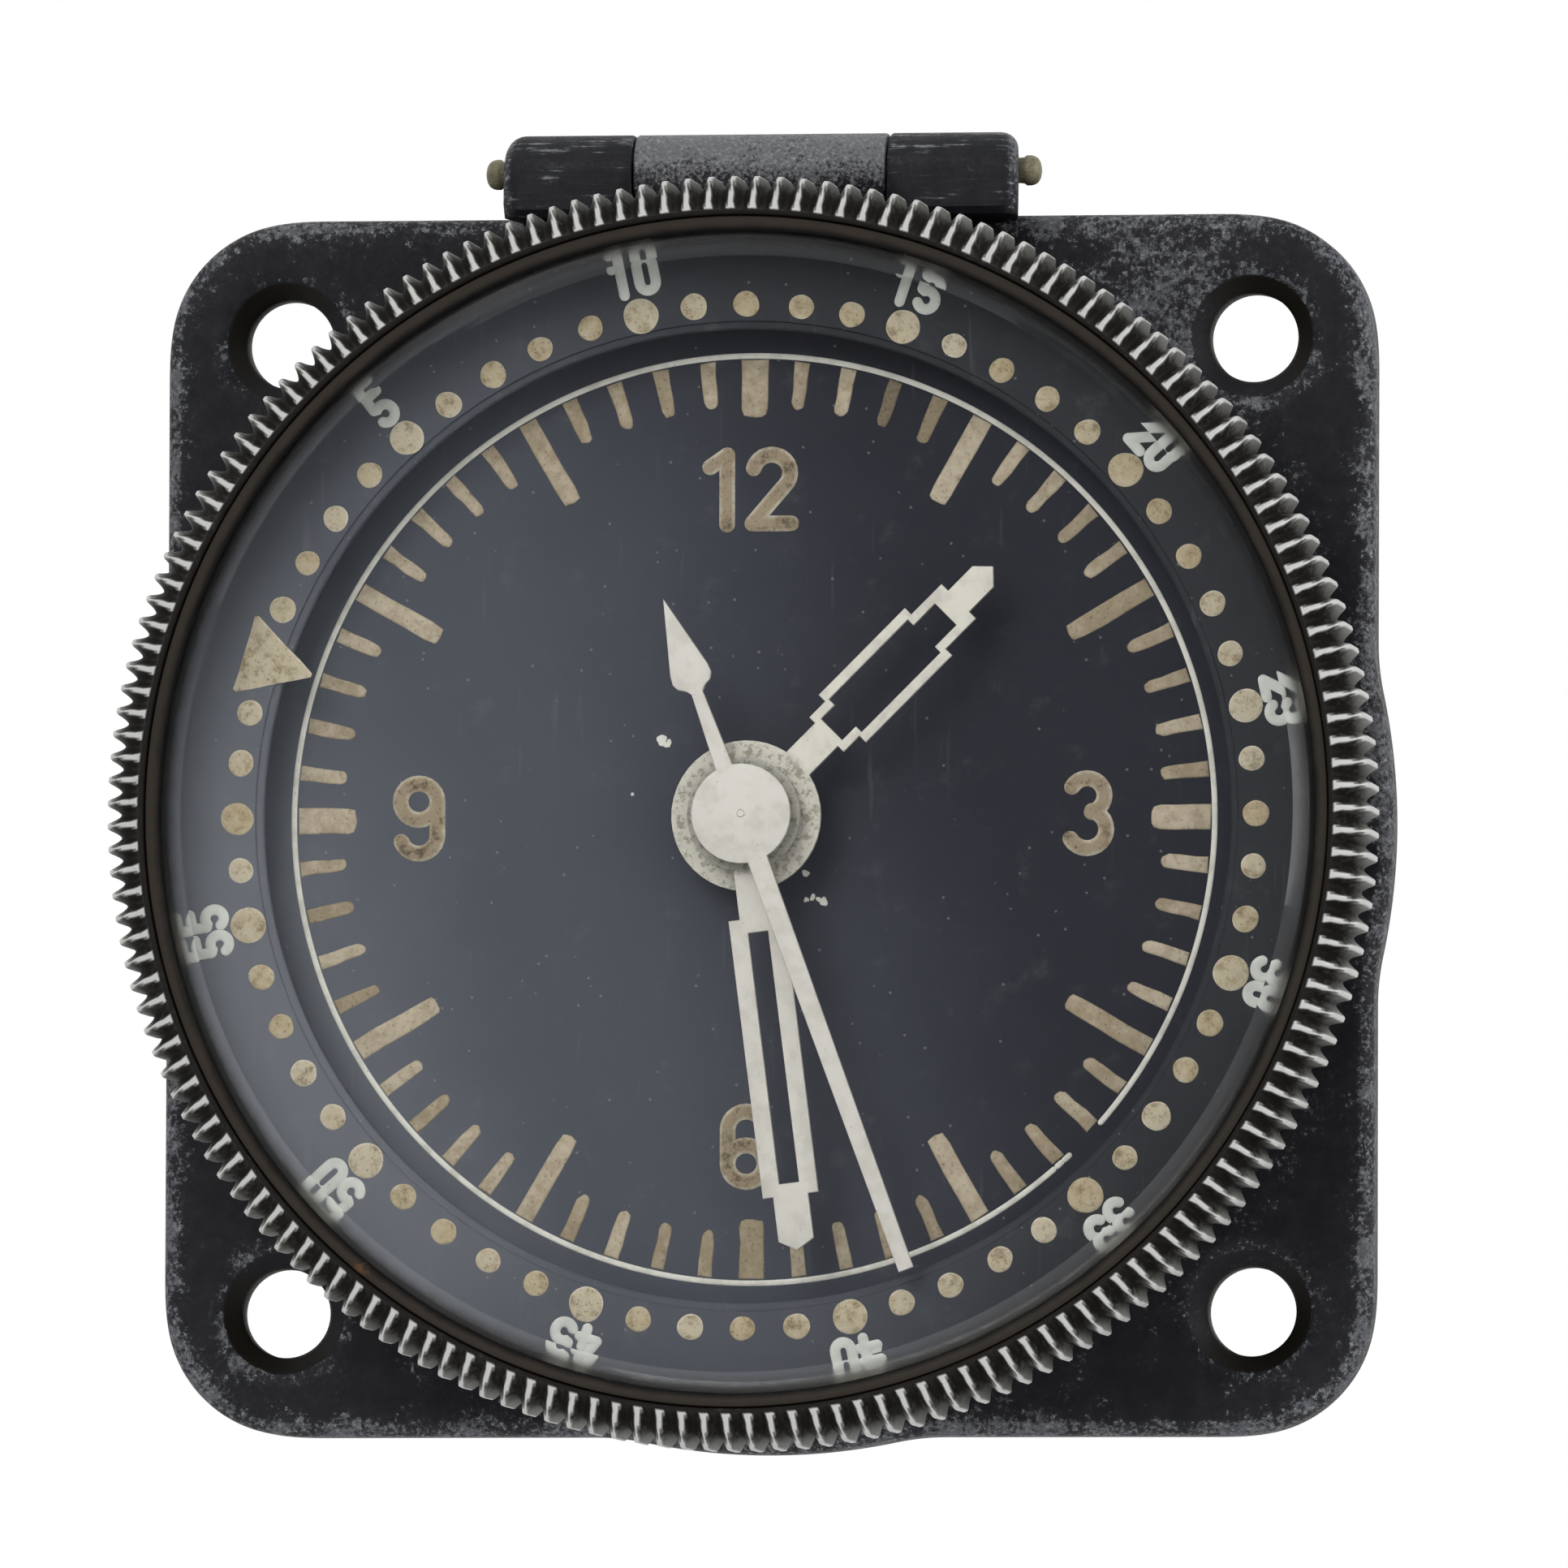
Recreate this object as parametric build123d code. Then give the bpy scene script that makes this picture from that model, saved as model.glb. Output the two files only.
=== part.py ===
"""Square-flanged mechanical panel clock with a knurled turning bezel, 60 mm flange.

The model is drawn in a face frame: X to the right, Y towards twelve o'clock and Z out of the
dial, with Z = 0 on the rear (seating) face of the flange. Every piece is then turned so that the
stored part has X right, +Z up and the dial facing -Y. Millimetres.
"""
from build123d import *
from math import acos, atan2, cos, degrees, dist, radians, sin
import os

# Flange and mounting holes
flange_side_x = 59.8
flange_side_y = 60.2
flange_corner_r = 6.4
flange_t = 2.5
hole_edge = 5.9
hole_r = 2.2
hole_chamfer = 0.5

# Rear can and cover
can_inset = 1.6
can_wall = 2.0
can_depth = 13.0
bulge_w = 2.5
cover_t = 1.2
cover_clear = 0.1
cover_screw_angles = (45.0, 135.0, 225.0, 315.0)
cover_screw_inset = 1.9
cover_screw_r = 0.7
cover_screw_head_r = 1.4
cover_screw_head_t = 0.6
cover_screw_len = 2.4
cover_lug_r = 2.2
cover_lug_len = 3.0
slot_w = 0.35
slot_depth = 0.25

# Collar that carries the bezel and the dial
collar_step = 1.4
collar_wall = 2.5
collar_h = 6.2
dial_ledge_w = 1.4
plate_seat_h = 0.4

# Bezel, from the collar outwards and from the flange forwards
bezel_clear = 0.08
bezel_rear_gap = 0.7
skirt_wall = 2.22
scale_seat_w = 1.22
glass_seat_w = 0.95
front_land_w = 0.25
front_bevel_w = 1.6
front_bevel_h = 1.2
knurl_depth = 0.5
knurl_count = 171
knurl_band = 4.0
glass_mouth_h = 2.3
groove_below_top = 1.4
groove_h = 0.8
groove_depth = 0.4
spring_corner_count = 24
spring_wire = 0.4
spring_gap = 0.15

# Glass and its ring
glass_t = 1.7
glass_bevel_w = 1.5
glass_bevel_h = 0.7
glass_clear = 0.1
glass_ring_t = 0.5
glass_ring_gap = 0.1
glass_over_scale = 2.6

# Turning minute scale
scale_gap = 0.4
scale_t = 0.7
scale_w = 4.5
scale_step = 0.15
scale_step_w = 0.35
marker_t = 0.05
dot_inset = 3.25
dot_major_r = 0.83
dot_minor_r = 0.6
dot_major_side_count = 8
dot_minor_side_count = 6
triangle_angle = 288.0
triangle_base_inset = 2.2
triangle_h = 3.7
triangle_width = 4.0
minute_count = 60
hour_count = 12

# Dial
dial_below_collar = 1.8
dial_t = 0.8
dial_clear = 0.1
dial_hole_clear = 0.35
dial_foot_r = 0.6
dial_foot_inset = 4.2
dial_foot_angles = (75.0, 255.0)
dial_foot_len = 3.6
track_inset = 1.9
quarter_bar = (1.3, 2.9)
hour_bar = (1.0, 4.6)
minute_bar = (0.75, 2.35)

# Hinge and setting lever
hinge_over_flange = 2.0
hinge_h = 2.0
knuckle_r = 1.9
lever_w = 12.5
ear_w = 6.45
hinge_gap = 0.1
pin_r = 0.75
pin_stand_out = 1.0
pin_clear = 0.05
lever_tail_t = 1.1
lever_tail_drop = 0.8
skirt_gap = 0.4
plunger_back = 4.2
plunger_r = 0.8
plunger_head_r = 1.5
plunger_head_t = 0.7
plunger_inside = 1.3
plunger_boss_r = 2.0
plunger_boss_h = 0.4
plunger_clear = 0.05
touch_gap = 0.2
plunger_spring_wall = 0.35

# Movement plates
plate_clear = 0.7
plate_step = 3.0
plate_t = 1.2
plate_gap = 6.0
pillar_r = 1.4
pillar_inset = 1.9
pillar_angles = (20.0, 140.0, 262.0)
plate_screw_head_r = 1.3
plate_screw_head_t = 0.6
plate_screw_r = 0.6
plate_screw_len = 2.6
case_screw_angles = (0.0, 155.0, 235.0)
case_screw_inset = 1.4
case_screw_r = 0.55
case_screw_head_r = 1.0
case_screw_head_t = 0.6
case_screw_len = 2.6
pivot_r = 0.4
pivot_clear = 0.04
wheel_t = 0.4
end_shake = 0.1

# Going train, in the order of the power flow
train_module = 0.3
tooth_tip = 0.65
tooth_root = 1.05
mesh_backlash = 0.05
pinion_extra = 0.2
barrel_teeth = 60
great_pinion_teeth = 10
great_teeth = 48
third_pinion_teeth = 6
third_teeth = 45
seconds_pinion_teeth = 6
seconds_teeth = 60
escape_module = 0.22
escape_pinion_teeth = 6
third_angle = 200.0
great_angle = 110.0
escape_angle = 335.0
escape_line_angle = 250.0
barrel_h = 3.2
barrel_band = 1.0
barrel_wall = 0.5
barrel_cover_t = 0.4
barrel_arbor_r = 1.2
mainspring_inner_r = 3.0
mainspring_gap = 0.3

# Motion work under the dial
motion_module = 0.42
cannon_teeth = 10
minute_wheel_teeth = 30
minute_pinion_teeth = 8
hour_wheel_teeth = 32
minute_wheel_angle = 315.0
minute_stud_r = 0.6
seconds_arbor_r = 0.4
centre_tube_wall = 0.3
cannon_wall = 0.45
hour_tube_wall = 0.45
tube_clear = 0.05

# Winding from the bezel: inner teeth, pinion and ratchet wheel
ring_tooth_gap = 0.42
ring_teeth = 69
ring_teeth_h = 2.2
winding_pinion_teeth = 7
ratchet_teeth = 17
winding_stud_r = 0.7
winding_t = 0.7
winding_pocket_clear = 0.2
click_wire = 0.4
click_post_r = 0.9
click_post_clear = 1.0
click_post_turn = 35.0
click_nose_depth = 0.2
click_space_count = 4.5

# Escapement and balance
escape_teeth = 15
escape_r = 3.3
escape_root_r = 2.5
escape_tooth_share = 0.5
escape_up = 1.3
pallet_span_deg = 60.0
pallet_lock_gap = 0.2
pallet_w = 0.5
pallet_len = 0.6
pallet_hub_r = 0.7
pallet_waist = 0.42
fork_reach = 4.9
fork_slot = 0.2
fork_slot_floor = 3.3
fork_horn_reach = 3.95
fork_horn_w = 0.55
fork_neck = 0.25
balance_r = 6.0
balance_rim_w = 0.8
balance_arm_w = 1.0
balance_t = 0.6
balance_gap = 1.0
roller_r = 1.0
roller_t = 0.4
impulse_place_r = 0.75
impulse_r = 0.12
staff_r = 0.35
hairspring_inner_r = 1.2
hairspring_pitch = 0.6
hairspring_turn_count = 4
hairspring_point_count = 12
hairspring_t = 0.12
hairspring_w = 0.3
cock_t = 1.0
cock_w = 4.0
cock_angle = 330.0
cock_clear = 0.2

# Hands: half-widths along the hand, each pair (distance, half-width)
hand_t = 0.3
hour_hand_over_dial = 2.4
minute_over_hour = 0.9
second_over_minute = 1.0
hour_hand_angle = 45.0
minute_hand_angle = 172.7
second_hand_angle = 159.8
hour_hub_r = 3.7
minute_hub_r = 2.8
second_disc_r = 2.45
hour_outline = ((0.0, 0.8), (5.6, 0.8), (5.6, 1.2), (6.7, 1.2), (6.7, 1.65), (12.7, 1.65),
                (12.7, 1.2), (14.8, 1.2), (14.8, 0.73), (16.5, 0.73), (17.2, 0.0))
hour_window = ((5.95, 0.75), (6.9, 0.75), (6.9, 1.15), (12.4, 1.15), (12.4, 0.75), (13.9, 0.75))
minute_outline = ((0.0, 0.83), (5.1, 0.83), (5.1, 1.38), (18.8, 1.38), (18.8, 0.87),
                  (21.0, 0.87), (21.5, 0.0))
minute_window = ((5.8, 0.5), (18.2, 0.5))
second_outline = ((0.0, 0.5), (23.8, 0.38))
tail_outline = ((0.0, 0.5), (6.2, 0.3), (7.0, 1.0), (11.2, 0.0))

# Radii that follow, from the flange inwards and out again through the bezel
hole_spacing = flange_side_x - 2 * hole_edge
can_outer_r = flange_side_y / 2 - can_inset
can_inner_r = can_outer_r - can_wall
flange_bulge_r = can_outer_r + bulge_w
cover_screw_place_r = can_inner_r - cover_screw_inset
collar_r = can_outer_r - collar_step
collar_bore_r = collar_r - collar_wall
neck_bore_r = collar_bore_r - dial_ledge_w
bezel_bore_r = collar_r + bezel_clear
skirt_r = bezel_bore_r + skirt_wall
bezel_inner_r = bezel_bore_r + scale_seat_w
bezel_mouth_r = bezel_inner_r + glass_seat_w
bezel_face_r = bezel_mouth_r + front_land_w
knurl_tip_r = bezel_face_r + front_bevel_w
scale_inner_r = bezel_inner_r - scale_w
dot_place_r = bezel_inner_r - dot_inset
triangle_base_r = bezel_inner_r - triangle_base_inset
triangle_apex_r = triangle_base_r - triangle_h
dial_r = collar_bore_r - dial_clear
track_r = dial_r - track_inset
dial_foot_place_r = neck_bore_r - dial_foot_inset
plate_r = can_inner_r - plate_clear
rear_plate_r = plate_r - plate_step
pillar_place_r = rear_plate_r - pillar_inset
case_screw_place_r = plate_r - case_screw_inset
centre_tube_r = seconds_arbor_r + tube_clear + centre_tube_wall
cannon_tube_r = centre_tube_r + tube_clear + cannon_wall
hour_tube_r = cannon_tube_r + tube_clear + hour_tube_wall
dial_hole_r = hour_tube_r + dial_hole_clear

# Heights that follow, measured forwards from the flange's rear face
can_end_z = -can_depth
collar_top = flange_t + collar_h
plate_seat_z = flange_t + plate_seat_h
front_plate_z = plate_seat_z - plate_t
rear_plate_front_z = front_plate_z - plate_gap
rear_plate_z = rear_plate_front_z - plate_t
dial_top_z = collar_top - dial_below_collar
dial_seat_z = dial_top_z - dial_t
scale_seat_z = collar_top + scale_gap
scale_top_z = scale_seat_z + scale_t
glass_seat_z = scale_top_z + glass_over_scale
bezel_rear_z = flange_t + bezel_rear_gap
bezel_front_z = glass_seat_z + glass_mouth_h
knurl_front_z = bezel_front_z - front_bevel_h
knurl_rear_z = knurl_front_z - knurl_band
groove_z = collar_top - groove_below_top
ring_teeth_top = bezel_rear_z + ring_teeth_h
hour_hand_z = dial_top_z + hour_hand_over_dial
minute_hand_z = hour_hand_z + minute_over_hour
second_hand_z = minute_hand_z + second_over_minute

# Hinge, lever and plunger that follow
hinge_y = flange_side_y / 2 + hinge_over_flange
hinge_z = flange_t + hinge_h
pin_len = lever_w + 2 * (hinge_gap + ear_w + pin_stand_out)
lever_tail_y = hinge_y - lever_tail_drop
plunger_z = -plunger_back
lever_tail_end_z = plunger_z - plunger_head_r
plunger_in_y = can_inner_r - plunger_inside
plunger_boss_y = can_outer_r + plunger_boss_h
plunger_head_y = lever_tail_y - touch_gap

# Winding gears that follow from the bezel's bore
winding_module = 2 * (bezel_bore_r + ring_tooth_gap) / ring_teeth
pinion_bore_r = winding_stud_r + tube_clear

# Cock foot that follows from the balance
cock_reach = balance_r + cock_clear + cock_w / 2


def polar(radius, angle):
    """A point in the face plane; the angle runs anticlockwise from three o'clock."""
    return (radius * cos(radians(angle)), radius * sin(radians(angle)))


def clock_angle(angle):
    """Turn an angle counted clockwise from twelve o'clock into one counted from three o'clock."""
    return 90.0 - angle


def disc(radius, z_low, z_high, at=(0.0, 0.0)):
    """A solid round disc or rod between two heights."""
    return Pos(at[0], at[1], z_low) * extrude(Circle(radius), z_high - z_low)


def tube(outer_r, inner_r, z_low, z_high, at=(0.0, 0.0)):
    """A ring or tube between two heights."""
    face = Circle(outer_r) - Circle(inner_r)
    return Pos(at[0], at[1], z_low) * extrude(face, z_high - z_low)


def turned(points):
    """A solid turned about the clock's axis from (radius, height) points."""
    profile = make_face(Plane.XZ * Polyline(*points, close=True))
    return revolve(profile, Axis.Z, 360)


def prism(points, z_low, z_high):
    """A flat outline made solid between two heights."""
    outline = make_face(Polyline(*points, close=True))
    return Pos(0, 0, z_low) * extrude(outline, z_high - z_low)


def ring_of_teeth(count, root_r, tip_r, phase, at=(0.0, 0.0), width=1.0):
    """The points of a wheel's edge: pointed teeth, the first one at the phase angle.

    The width is each tooth's share of the pitch at its root. At 1 the teeth meet, so each root
    corner serves two of them.
    """
    pitch = 360.0 / count
    half = width * pitch / 2
    corners = [(root_r, -half), (tip_r, 0.0), (root_r, half)]
    if width == 1.0:
        corners.pop()
    points = []
    for i in range(count):
        for radius, offset in corners:
            x, y = polar(radius, phase + i * pitch + offset)
            points.append((at[0] + x, at[1] + y))
    return points


def gear(count, module, phase, z_low, z_high, at=(0.0, 0.0)):
    """An external gear whose first tooth points at the phase angle."""
    pitch_r = module * count / 2
    points = ring_of_teeth(
        count, pitch_r - tooth_root * module, pitch_r + tooth_tip * module, phase, at
    )
    return prism(points, z_low, z_high)


def pitch_radius(count, module=train_module):
    """The pitch radius of a gear."""
    return module * count / 2


def moved_from(origin, distance, angle):
    """The point at a distance and angle from another one."""
    x, y = polar(distance, angle)
    return (origin[0] + x, origin[1] + y)


def direction(start, end):
    """The angle of the line from one point to another, in degrees."""
    return degrees(atan2(end[1] - start[1], end[0] - start[0]))


def gap_phase(count, angle):
    """The phase that puts the gap between two teeth at an angle."""
    return angle + 180.0 / count


def mesh_distance(wheel, pinion, module=train_module):
    """The distance between two arbors in mesh."""
    return pitch_radius(wheel, module) + pitch_radius(pinion, module) + mesh_backlash


def meeting_point(first, first_distance, second, second_distance):
    """The point at given distances from two others, on the left of the line between them."""
    across = dist(first, second)
    along = (first_distance**2 - second_distance**2 + across**2) / (2 * across)
    turn = degrees(acos(along / first_distance))
    return moved_from(first, first_distance, direction(first, second) + turn)


# Places of the arbors in the face plane
centre = (0.0, 0.0)
third_at = moved_from(centre, mesh_distance(third_teeth, seconds_pinion_teeth), third_angle)
great_at = moved_from(third_at, mesh_distance(great_teeth, third_pinion_teeth), great_angle)
winding_place_r = pitch_radius(ring_teeth, winding_module) - pitch_radius(
    winding_pinion_teeth, winding_module
)
barrel_at = meeting_point(
    great_at,
    mesh_distance(barrel_teeth, great_pinion_teeth),
    centre,
    winding_place_r - mesh_distance(ratchet_teeth, winding_pinion_teeth, winding_module),
)
winding_at = polar(winding_place_r, direction(centre, barrel_at))
escape_at = moved_from(
    centre, mesh_distance(seconds_teeth, escape_pinion_teeth, escape_module), escape_angle
)
pallet_reach = (escape_r + pallet_lock_gap) / cos(radians(pallet_span_deg / 2))
pallet_at = moved_from(escape_at, pallet_reach, escape_line_angle)
balance_at = moved_from(pallet_at, fork_reach, escape_line_angle)
minute_wheel_at = moved_from(
    centre, mesh_distance(minute_wheel_teeth, cannon_teeth, motion_module), minute_wheel_angle
)

# Heights of the wheels between the plates
barrel_z = rear_plate_front_z + 2 * end_shake
great_z = barrel_z + barrel_h + 2 * end_shake
third_z = great_z + 2 * wheel_t
seconds_z = third_z + 2 * wheel_t
escape_z = rear_plate_front_z + escape_up
barrel_arbor_tip_z = plate_seat_z + winding_t + 2 * end_shake


def case_body():
    """The casting: flange, collar, rear can, hinge ears and the lugs for the cover."""
    plate = RectangleRounded(flange_side_x, flange_side_y, flange_corner_r) + Circle(flange_bulge_r)
    body = extrude(plate, flange_t)
    body -= lever_notch()
    body += disc(can_outer_r, can_end_z, 0)
    body += disc(collar_r, flange_t, collar_top)
    body += case_ears()
    body += plunger_boss()
    body -= turned(
        (
            (0, can_end_z),
            (can_inner_r, can_end_z),
            (can_inner_r, plate_seat_z),
            (neck_bore_r, plate_seat_z),
            (neck_bore_r, dial_seat_z),
            (collar_bore_r, dial_seat_z),
            (collar_bore_r, collar_top),
            (0, collar_top),
        )
    )
    body += cover_lugs()
    body -= turned(
        (
            (collar_r - groove_depth, groove_z),
            (collar_r + groove_depth, groove_z),
            (collar_r + groove_depth, groove_z + groove_h),
            (collar_r - groove_depth, groove_z + groove_h),
        )
    )
    body -= disc(winding_pocket_r(), plate_seat_z, dial_seat_z, winding_at)
    body -= mounting_holes()
    for angle in case_screw_angles:
        depth = plate_seat_z + case_screw_len - plate_t
        body -= disc(case_screw_r, plate_seat_z, depth, polar(case_screw_place_r, angle))
    body -= hinge_rod(pin_r, pin_len)
    body -= plunger_rod(plunger_r + plunger_clear, 0, plunger_boss_y)
    return body


def mounting_holes():
    """The four bolt holes with their chamfered front rims."""
    hole = disc(hole_r, 0, flange_t)
    rim = Pos(0, 0, flange_t - hole_chamfer / 2) * Cone(
        hole_r, hole_r + hole_chamfer, hole_chamfer
    )
    return [
        place * piece
        for place in GridLocations(hole_spacing, hole_spacing, 2, 2)
        for piece in (hole, rim)
    ]


def hinge_rod(radius, length, middle_x=0.0):
    """A rod along the hinge axis."""
    return Pos(middle_x, hinge_y, hinge_z) * Rot(0, 90, 0) * Cylinder(radius, length)


def plunger_rod(radius, y_low, y_high):
    """A rod along the plunger's axis."""
    length = y_high - y_low
    return Pos(0, (y_low + y_high) / 2, plunger_z) * Rot(90, 0, 0) * Cylinder(radius, length)


def plunger_boss():
    """The round seat on the can that guides the plunger."""
    return plunger_rod(plunger_boss_r, can_inner_r - can_wall / 2, plunger_boss_y)


def case_ears():
    """The two outer hinge knuckles with the blocks that carry them."""
    ears = []
    middle_x = lever_w / 2 + hinge_gap + ear_w / 2
    height = hinge_z + knuckle_r
    low_y = bezel_inner_r - ear_w / 2
    block = Pos(0, (low_y + hinge_y) / 2, height / 2) * Box(ear_w, hinge_y - low_y, height)
    cap = Pos(0, hinge_y, hinge_z / 2) * Box(ear_w, 2 * knuckle_r, hinge_z)
    for side in (-1, 1):
        ear = Pos(side * middle_x, 0, 0) * (block + cap)
        ear += hinge_rod(knuckle_r, ear_w, side * middle_x)
        ears.append(ear - disc(skirt_r + skirt_gap, flange_t, height))
    return ears


def lever_notch():
    """The flat cut in the flange's top edge that lets the lever's tail swing."""
    width = lever_w + 2 * hinge_gap
    edge_y = flange_side_y / 2
    depth = flange_bulge_r - edge_y
    return Pos(0, edge_y + depth / 2, flange_t / 2) * Box(width, depth, flange_t)


def winding_pocket_r():
    """The radius of the pocket in the collar that the winding pinion turns in."""
    tip = tooth_tip * winding_module
    return pitch_radius(winding_pinion_teeth, winding_module) + tip + winding_pocket_clear


def cover_lugs():
    """The blocks inside the can that the cover's screws go into."""
    low = can_end_z + cover_t
    lugs = []
    for angle in cover_screw_angles:
        at = polar(cover_screw_place_r, angle)
        lug = disc(cover_lug_r, low, low + cover_lug_len, at)
        lugs.append((lug & disc(can_outer_r, low, 0)) - disc(cover_screw_r, low, 0, at))
    return lugs


def rear_cover():
    """The disc that closes the can."""
    cover = disc(can_inner_r - cover_clear, can_end_z, can_end_z + cover_t)
    for angle in cover_screw_angles:
        at = polar(cover_screw_place_r, angle)
        cover -= disc(cover_screw_r, can_end_z, can_end_z + cover_t, at)
    return cover


def slotted_screw(at, face_z, head_r, head_t, stem_r, stem_len):
    """A cheese-head screw driven from the rear; its head bears on the face at face_z."""
    screw = disc(head_r, face_z - head_t, face_z, at)
    screw += disc(stem_r, face_z, face_z + stem_len, at)
    slot = Box(2 * head_r, slot_w, 2 * slot_depth)
    return screw - Pos(at[0], at[1], face_z - head_t) * slot


def rear_cover_screws():
    """The four screws of the cover."""
    return [
        slotted_screw(
            polar(cover_screw_place_r, angle),
            can_end_z,
            cover_screw_head_r,
            cover_screw_head_t,
            cover_screw_r,
            cover_screw_len,
        )
        for angle in cover_screw_angles
    ]


def hinge_pin():
    """The pin through the three knuckles, with its rounded ends standing out."""
    return hinge_rod(pin_r, pin_len)


def setting_lever():
    """The middle knuckle with the tail that presses the plunger."""
    lever = hinge_rod(knuckle_r, lever_w)
    tail_len = hinge_z - lever_tail_end_z
    tail = Box(lever_w, lever_tail_t, tail_len)
    lever += Pos(0, lever_tail_y + lever_tail_t / 2, hinge_z - tail_len / 2) * tail
    return lever - hinge_rod(pin_r + pin_clear, lever_w)


def setting_plunger():
    """The sprung plunger that carries the lever's push through the can's wall."""
    plunger = plunger_rod(plunger_r, plunger_in_y, plunger_head_y)
    return plunger + plunger_rod(plunger_head_r, plunger_head_y - plunger_head_t, plunger_head_y)


def plunger_spring():
    """The spring under the plunger's head, as the sleeve that its coils fill."""
    high = plunger_head_y - plunger_head_t
    inner_r = plunger_r + plunger_clear
    sleeve = plunger_rod(inner_r + plunger_spring_wall, plunger_boss_y, high)
    return sleeve - plunger_rod(inner_r, plunger_boss_y, high)


def bezel():
    """The turning bezel: rear skirt with inner teeth, knurled rim and bevelled front."""
    blank = turned(
        (
            (bezel_bore_r, bezel_rear_z),
            (skirt_r, bezel_rear_z),
            (skirt_r, knurl_rear_z),
            (knurl_tip_r - knurl_depth, knurl_rear_z),
            (knurl_tip_r - knurl_depth, knurl_front_z),
            (bezel_face_r, bezel_front_z),
            (bezel_mouth_r, bezel_front_z),
            (bezel_mouth_r, glass_seat_z),
            (bezel_inner_r, glass_seat_z),
            (bezel_inner_r, scale_seat_z),
            (bezel_bore_r, scale_seat_z),
            (bezel_bore_r, groove_z + groove_h),
            (bezel_bore_r + groove_depth, groove_z + groove_h),
            (bezel_bore_r + groove_depth, groove_z),
            (bezel_bore_r, groove_z),
        )
    )
    valley_r = knurl_tip_r - knurl_depth
    ridges = ring_of_teeth(knurl_count, valley_r, knurl_tip_r, 0.0)
    rim = prism(ridges, knurl_rear_z, knurl_front_z)
    rim -= disc(valley_r - knurl_depth, knurl_rear_z, knurl_front_z)
    pitch_r = pitch_radius(ring_teeth, winding_module)
    spaces = ring_of_teeth(
        ring_teeth,
        pitch_r - winding_module / 2,
        pitch_r + tooth_root * winding_module,
        direction(centre, winding_at),
    )
    return blank + rim - prism(spaces, bezel_rear_z, ring_teeth_top)


def bezel_spring():
    """The bent wire in the collar's groove that keeps the bezel on."""
    inner_r = collar_r - groove_depth + spring_gap
    flat = RegularPolygon(inner_r + spring_wire, spring_corner_count, major_radius=False)
    flat -= RegularPolygon(inner_r, spring_corner_count, major_radius=False)
    low = groove_z + (groove_h - spring_wire) / 2
    return Pos(0, 0, low) * extrude(flat, spring_wire)


def glass():
    """The glass disc with its bevelled rim."""
    radius = bezel_mouth_r - glass_clear
    top = glass_seat_z + glass_t
    return turned(
        (
            (0, glass_seat_z),
            (radius, glass_seat_z),
            (radius, top - glass_bevel_h),
            (radius - glass_bevel_w, top),
            (0, top),
        )
    )


def glass_ring():
    """The dark ring that holds the glass in the bezel."""
    outer_r = bezel_mouth_r - glass_clear / 2
    low = glass_seat_z + glass_t - glass_bevel_h / 2 + glass_ring_gap
    return tube(outer_r, bezel_inner_r, low, low + glass_ring_t)


def scale_ring():
    """The minute scale that turns with the bezel, stepped down along its inner edge."""
    outer_r = bezel_inner_r - glass_clear
    edge_r = scale_inner_r + scale_step_w
    return turned(
        (
            (scale_inner_r, scale_seat_z),
            (outer_r, scale_seat_z),
            (outer_r, scale_top_z),
            (edge_r, scale_top_z),
            (edge_r, scale_top_z - scale_step),
            (scale_inner_r, scale_top_z - scale_step),
        )
    )


def scale_markers():
    """The luminous dots of the minute scale, with the triangle in place of one of them."""
    markers = []
    step = 360.0 / minute_count
    high = scale_top_z + marker_t
    for i in range(minute_count):
        angle = clock_angle(triangle_angle + i * step)
        if i == 0:
            half = degrees(atan2(triangle_width / 2, triangle_base_r))
            corners = (
                polar(triangle_apex_r, angle),
                polar(triangle_base_r, angle - half),
                polar(triangle_base_r, angle + half),
            )
            markers.append(prism(corners, scale_top_z, high))
            continue
        major = i % (minute_count // hour_count) == 0
        sides = dot_major_side_count if major else dot_minor_side_count
        radius = dot_major_r if major else dot_minor_r
        x, y = polar(dot_place_r, angle)
        dot = extrude(RegularPolygon(radius, sides), marker_t)
        markers.append(Pos(x, y, scale_top_z) * dot)
    return markers


def dial():
    """The dial plate with its two feet."""
    plate = disc(dial_r, dial_seat_z, dial_top_z)
    plate -= disc(dial_hole_r, dial_seat_z, dial_top_z)
    for angle in dial_foot_angles:
        at = polar(dial_foot_place_r, angle)
        plate += disc(dial_foot_r, dial_seat_z - dial_foot_len, dial_seat_z, at)
    return plate


def dial_markers():
    """The luminous bars of the dial: quarters, hours and minutes."""
    bars = []
    per_hour = minute_count // hour_count
    per_quarter = minute_count // 4
    for i in range(minute_count):
        width, length = minute_bar
        if i % per_hour == 0:
            width, length = hour_bar
        if i % per_quarter == 0:
            width, length = quarter_bar
        bar = Pos(track_r - length / 2, 0, dial_top_z + marker_t / 2) * Box(length, width, marker_t)
        bars.append(Rot(0, 0, clock_angle(i * 360.0 / minute_count)) * bar)
    return bars


def hand_shape(outline, window=()):
    """A hand's flat shape, drawn along +X from half-widths at distances from the centre."""
    upper = [(along, half) for along, half in outline]
    lower = [(along, -half) for along, half in reversed(outline) if half > 0]
    shape = make_face(Polyline(*upper, *lower, close=True))
    if window:
        upper = [(along, half) for along, half in window]
        lower = [(along, -half) for along, half in reversed(window)]
        shape -= make_face(Polyline(*upper, *lower, close=True))
    return shape


def hand_at(shape, angle, z):
    """A hand's shape made solid, turned to its clock angle."""
    return Pos(0, 0, z) * Rot(0, 0, clock_angle(angle)) * extrude(shape, hand_t)


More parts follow.
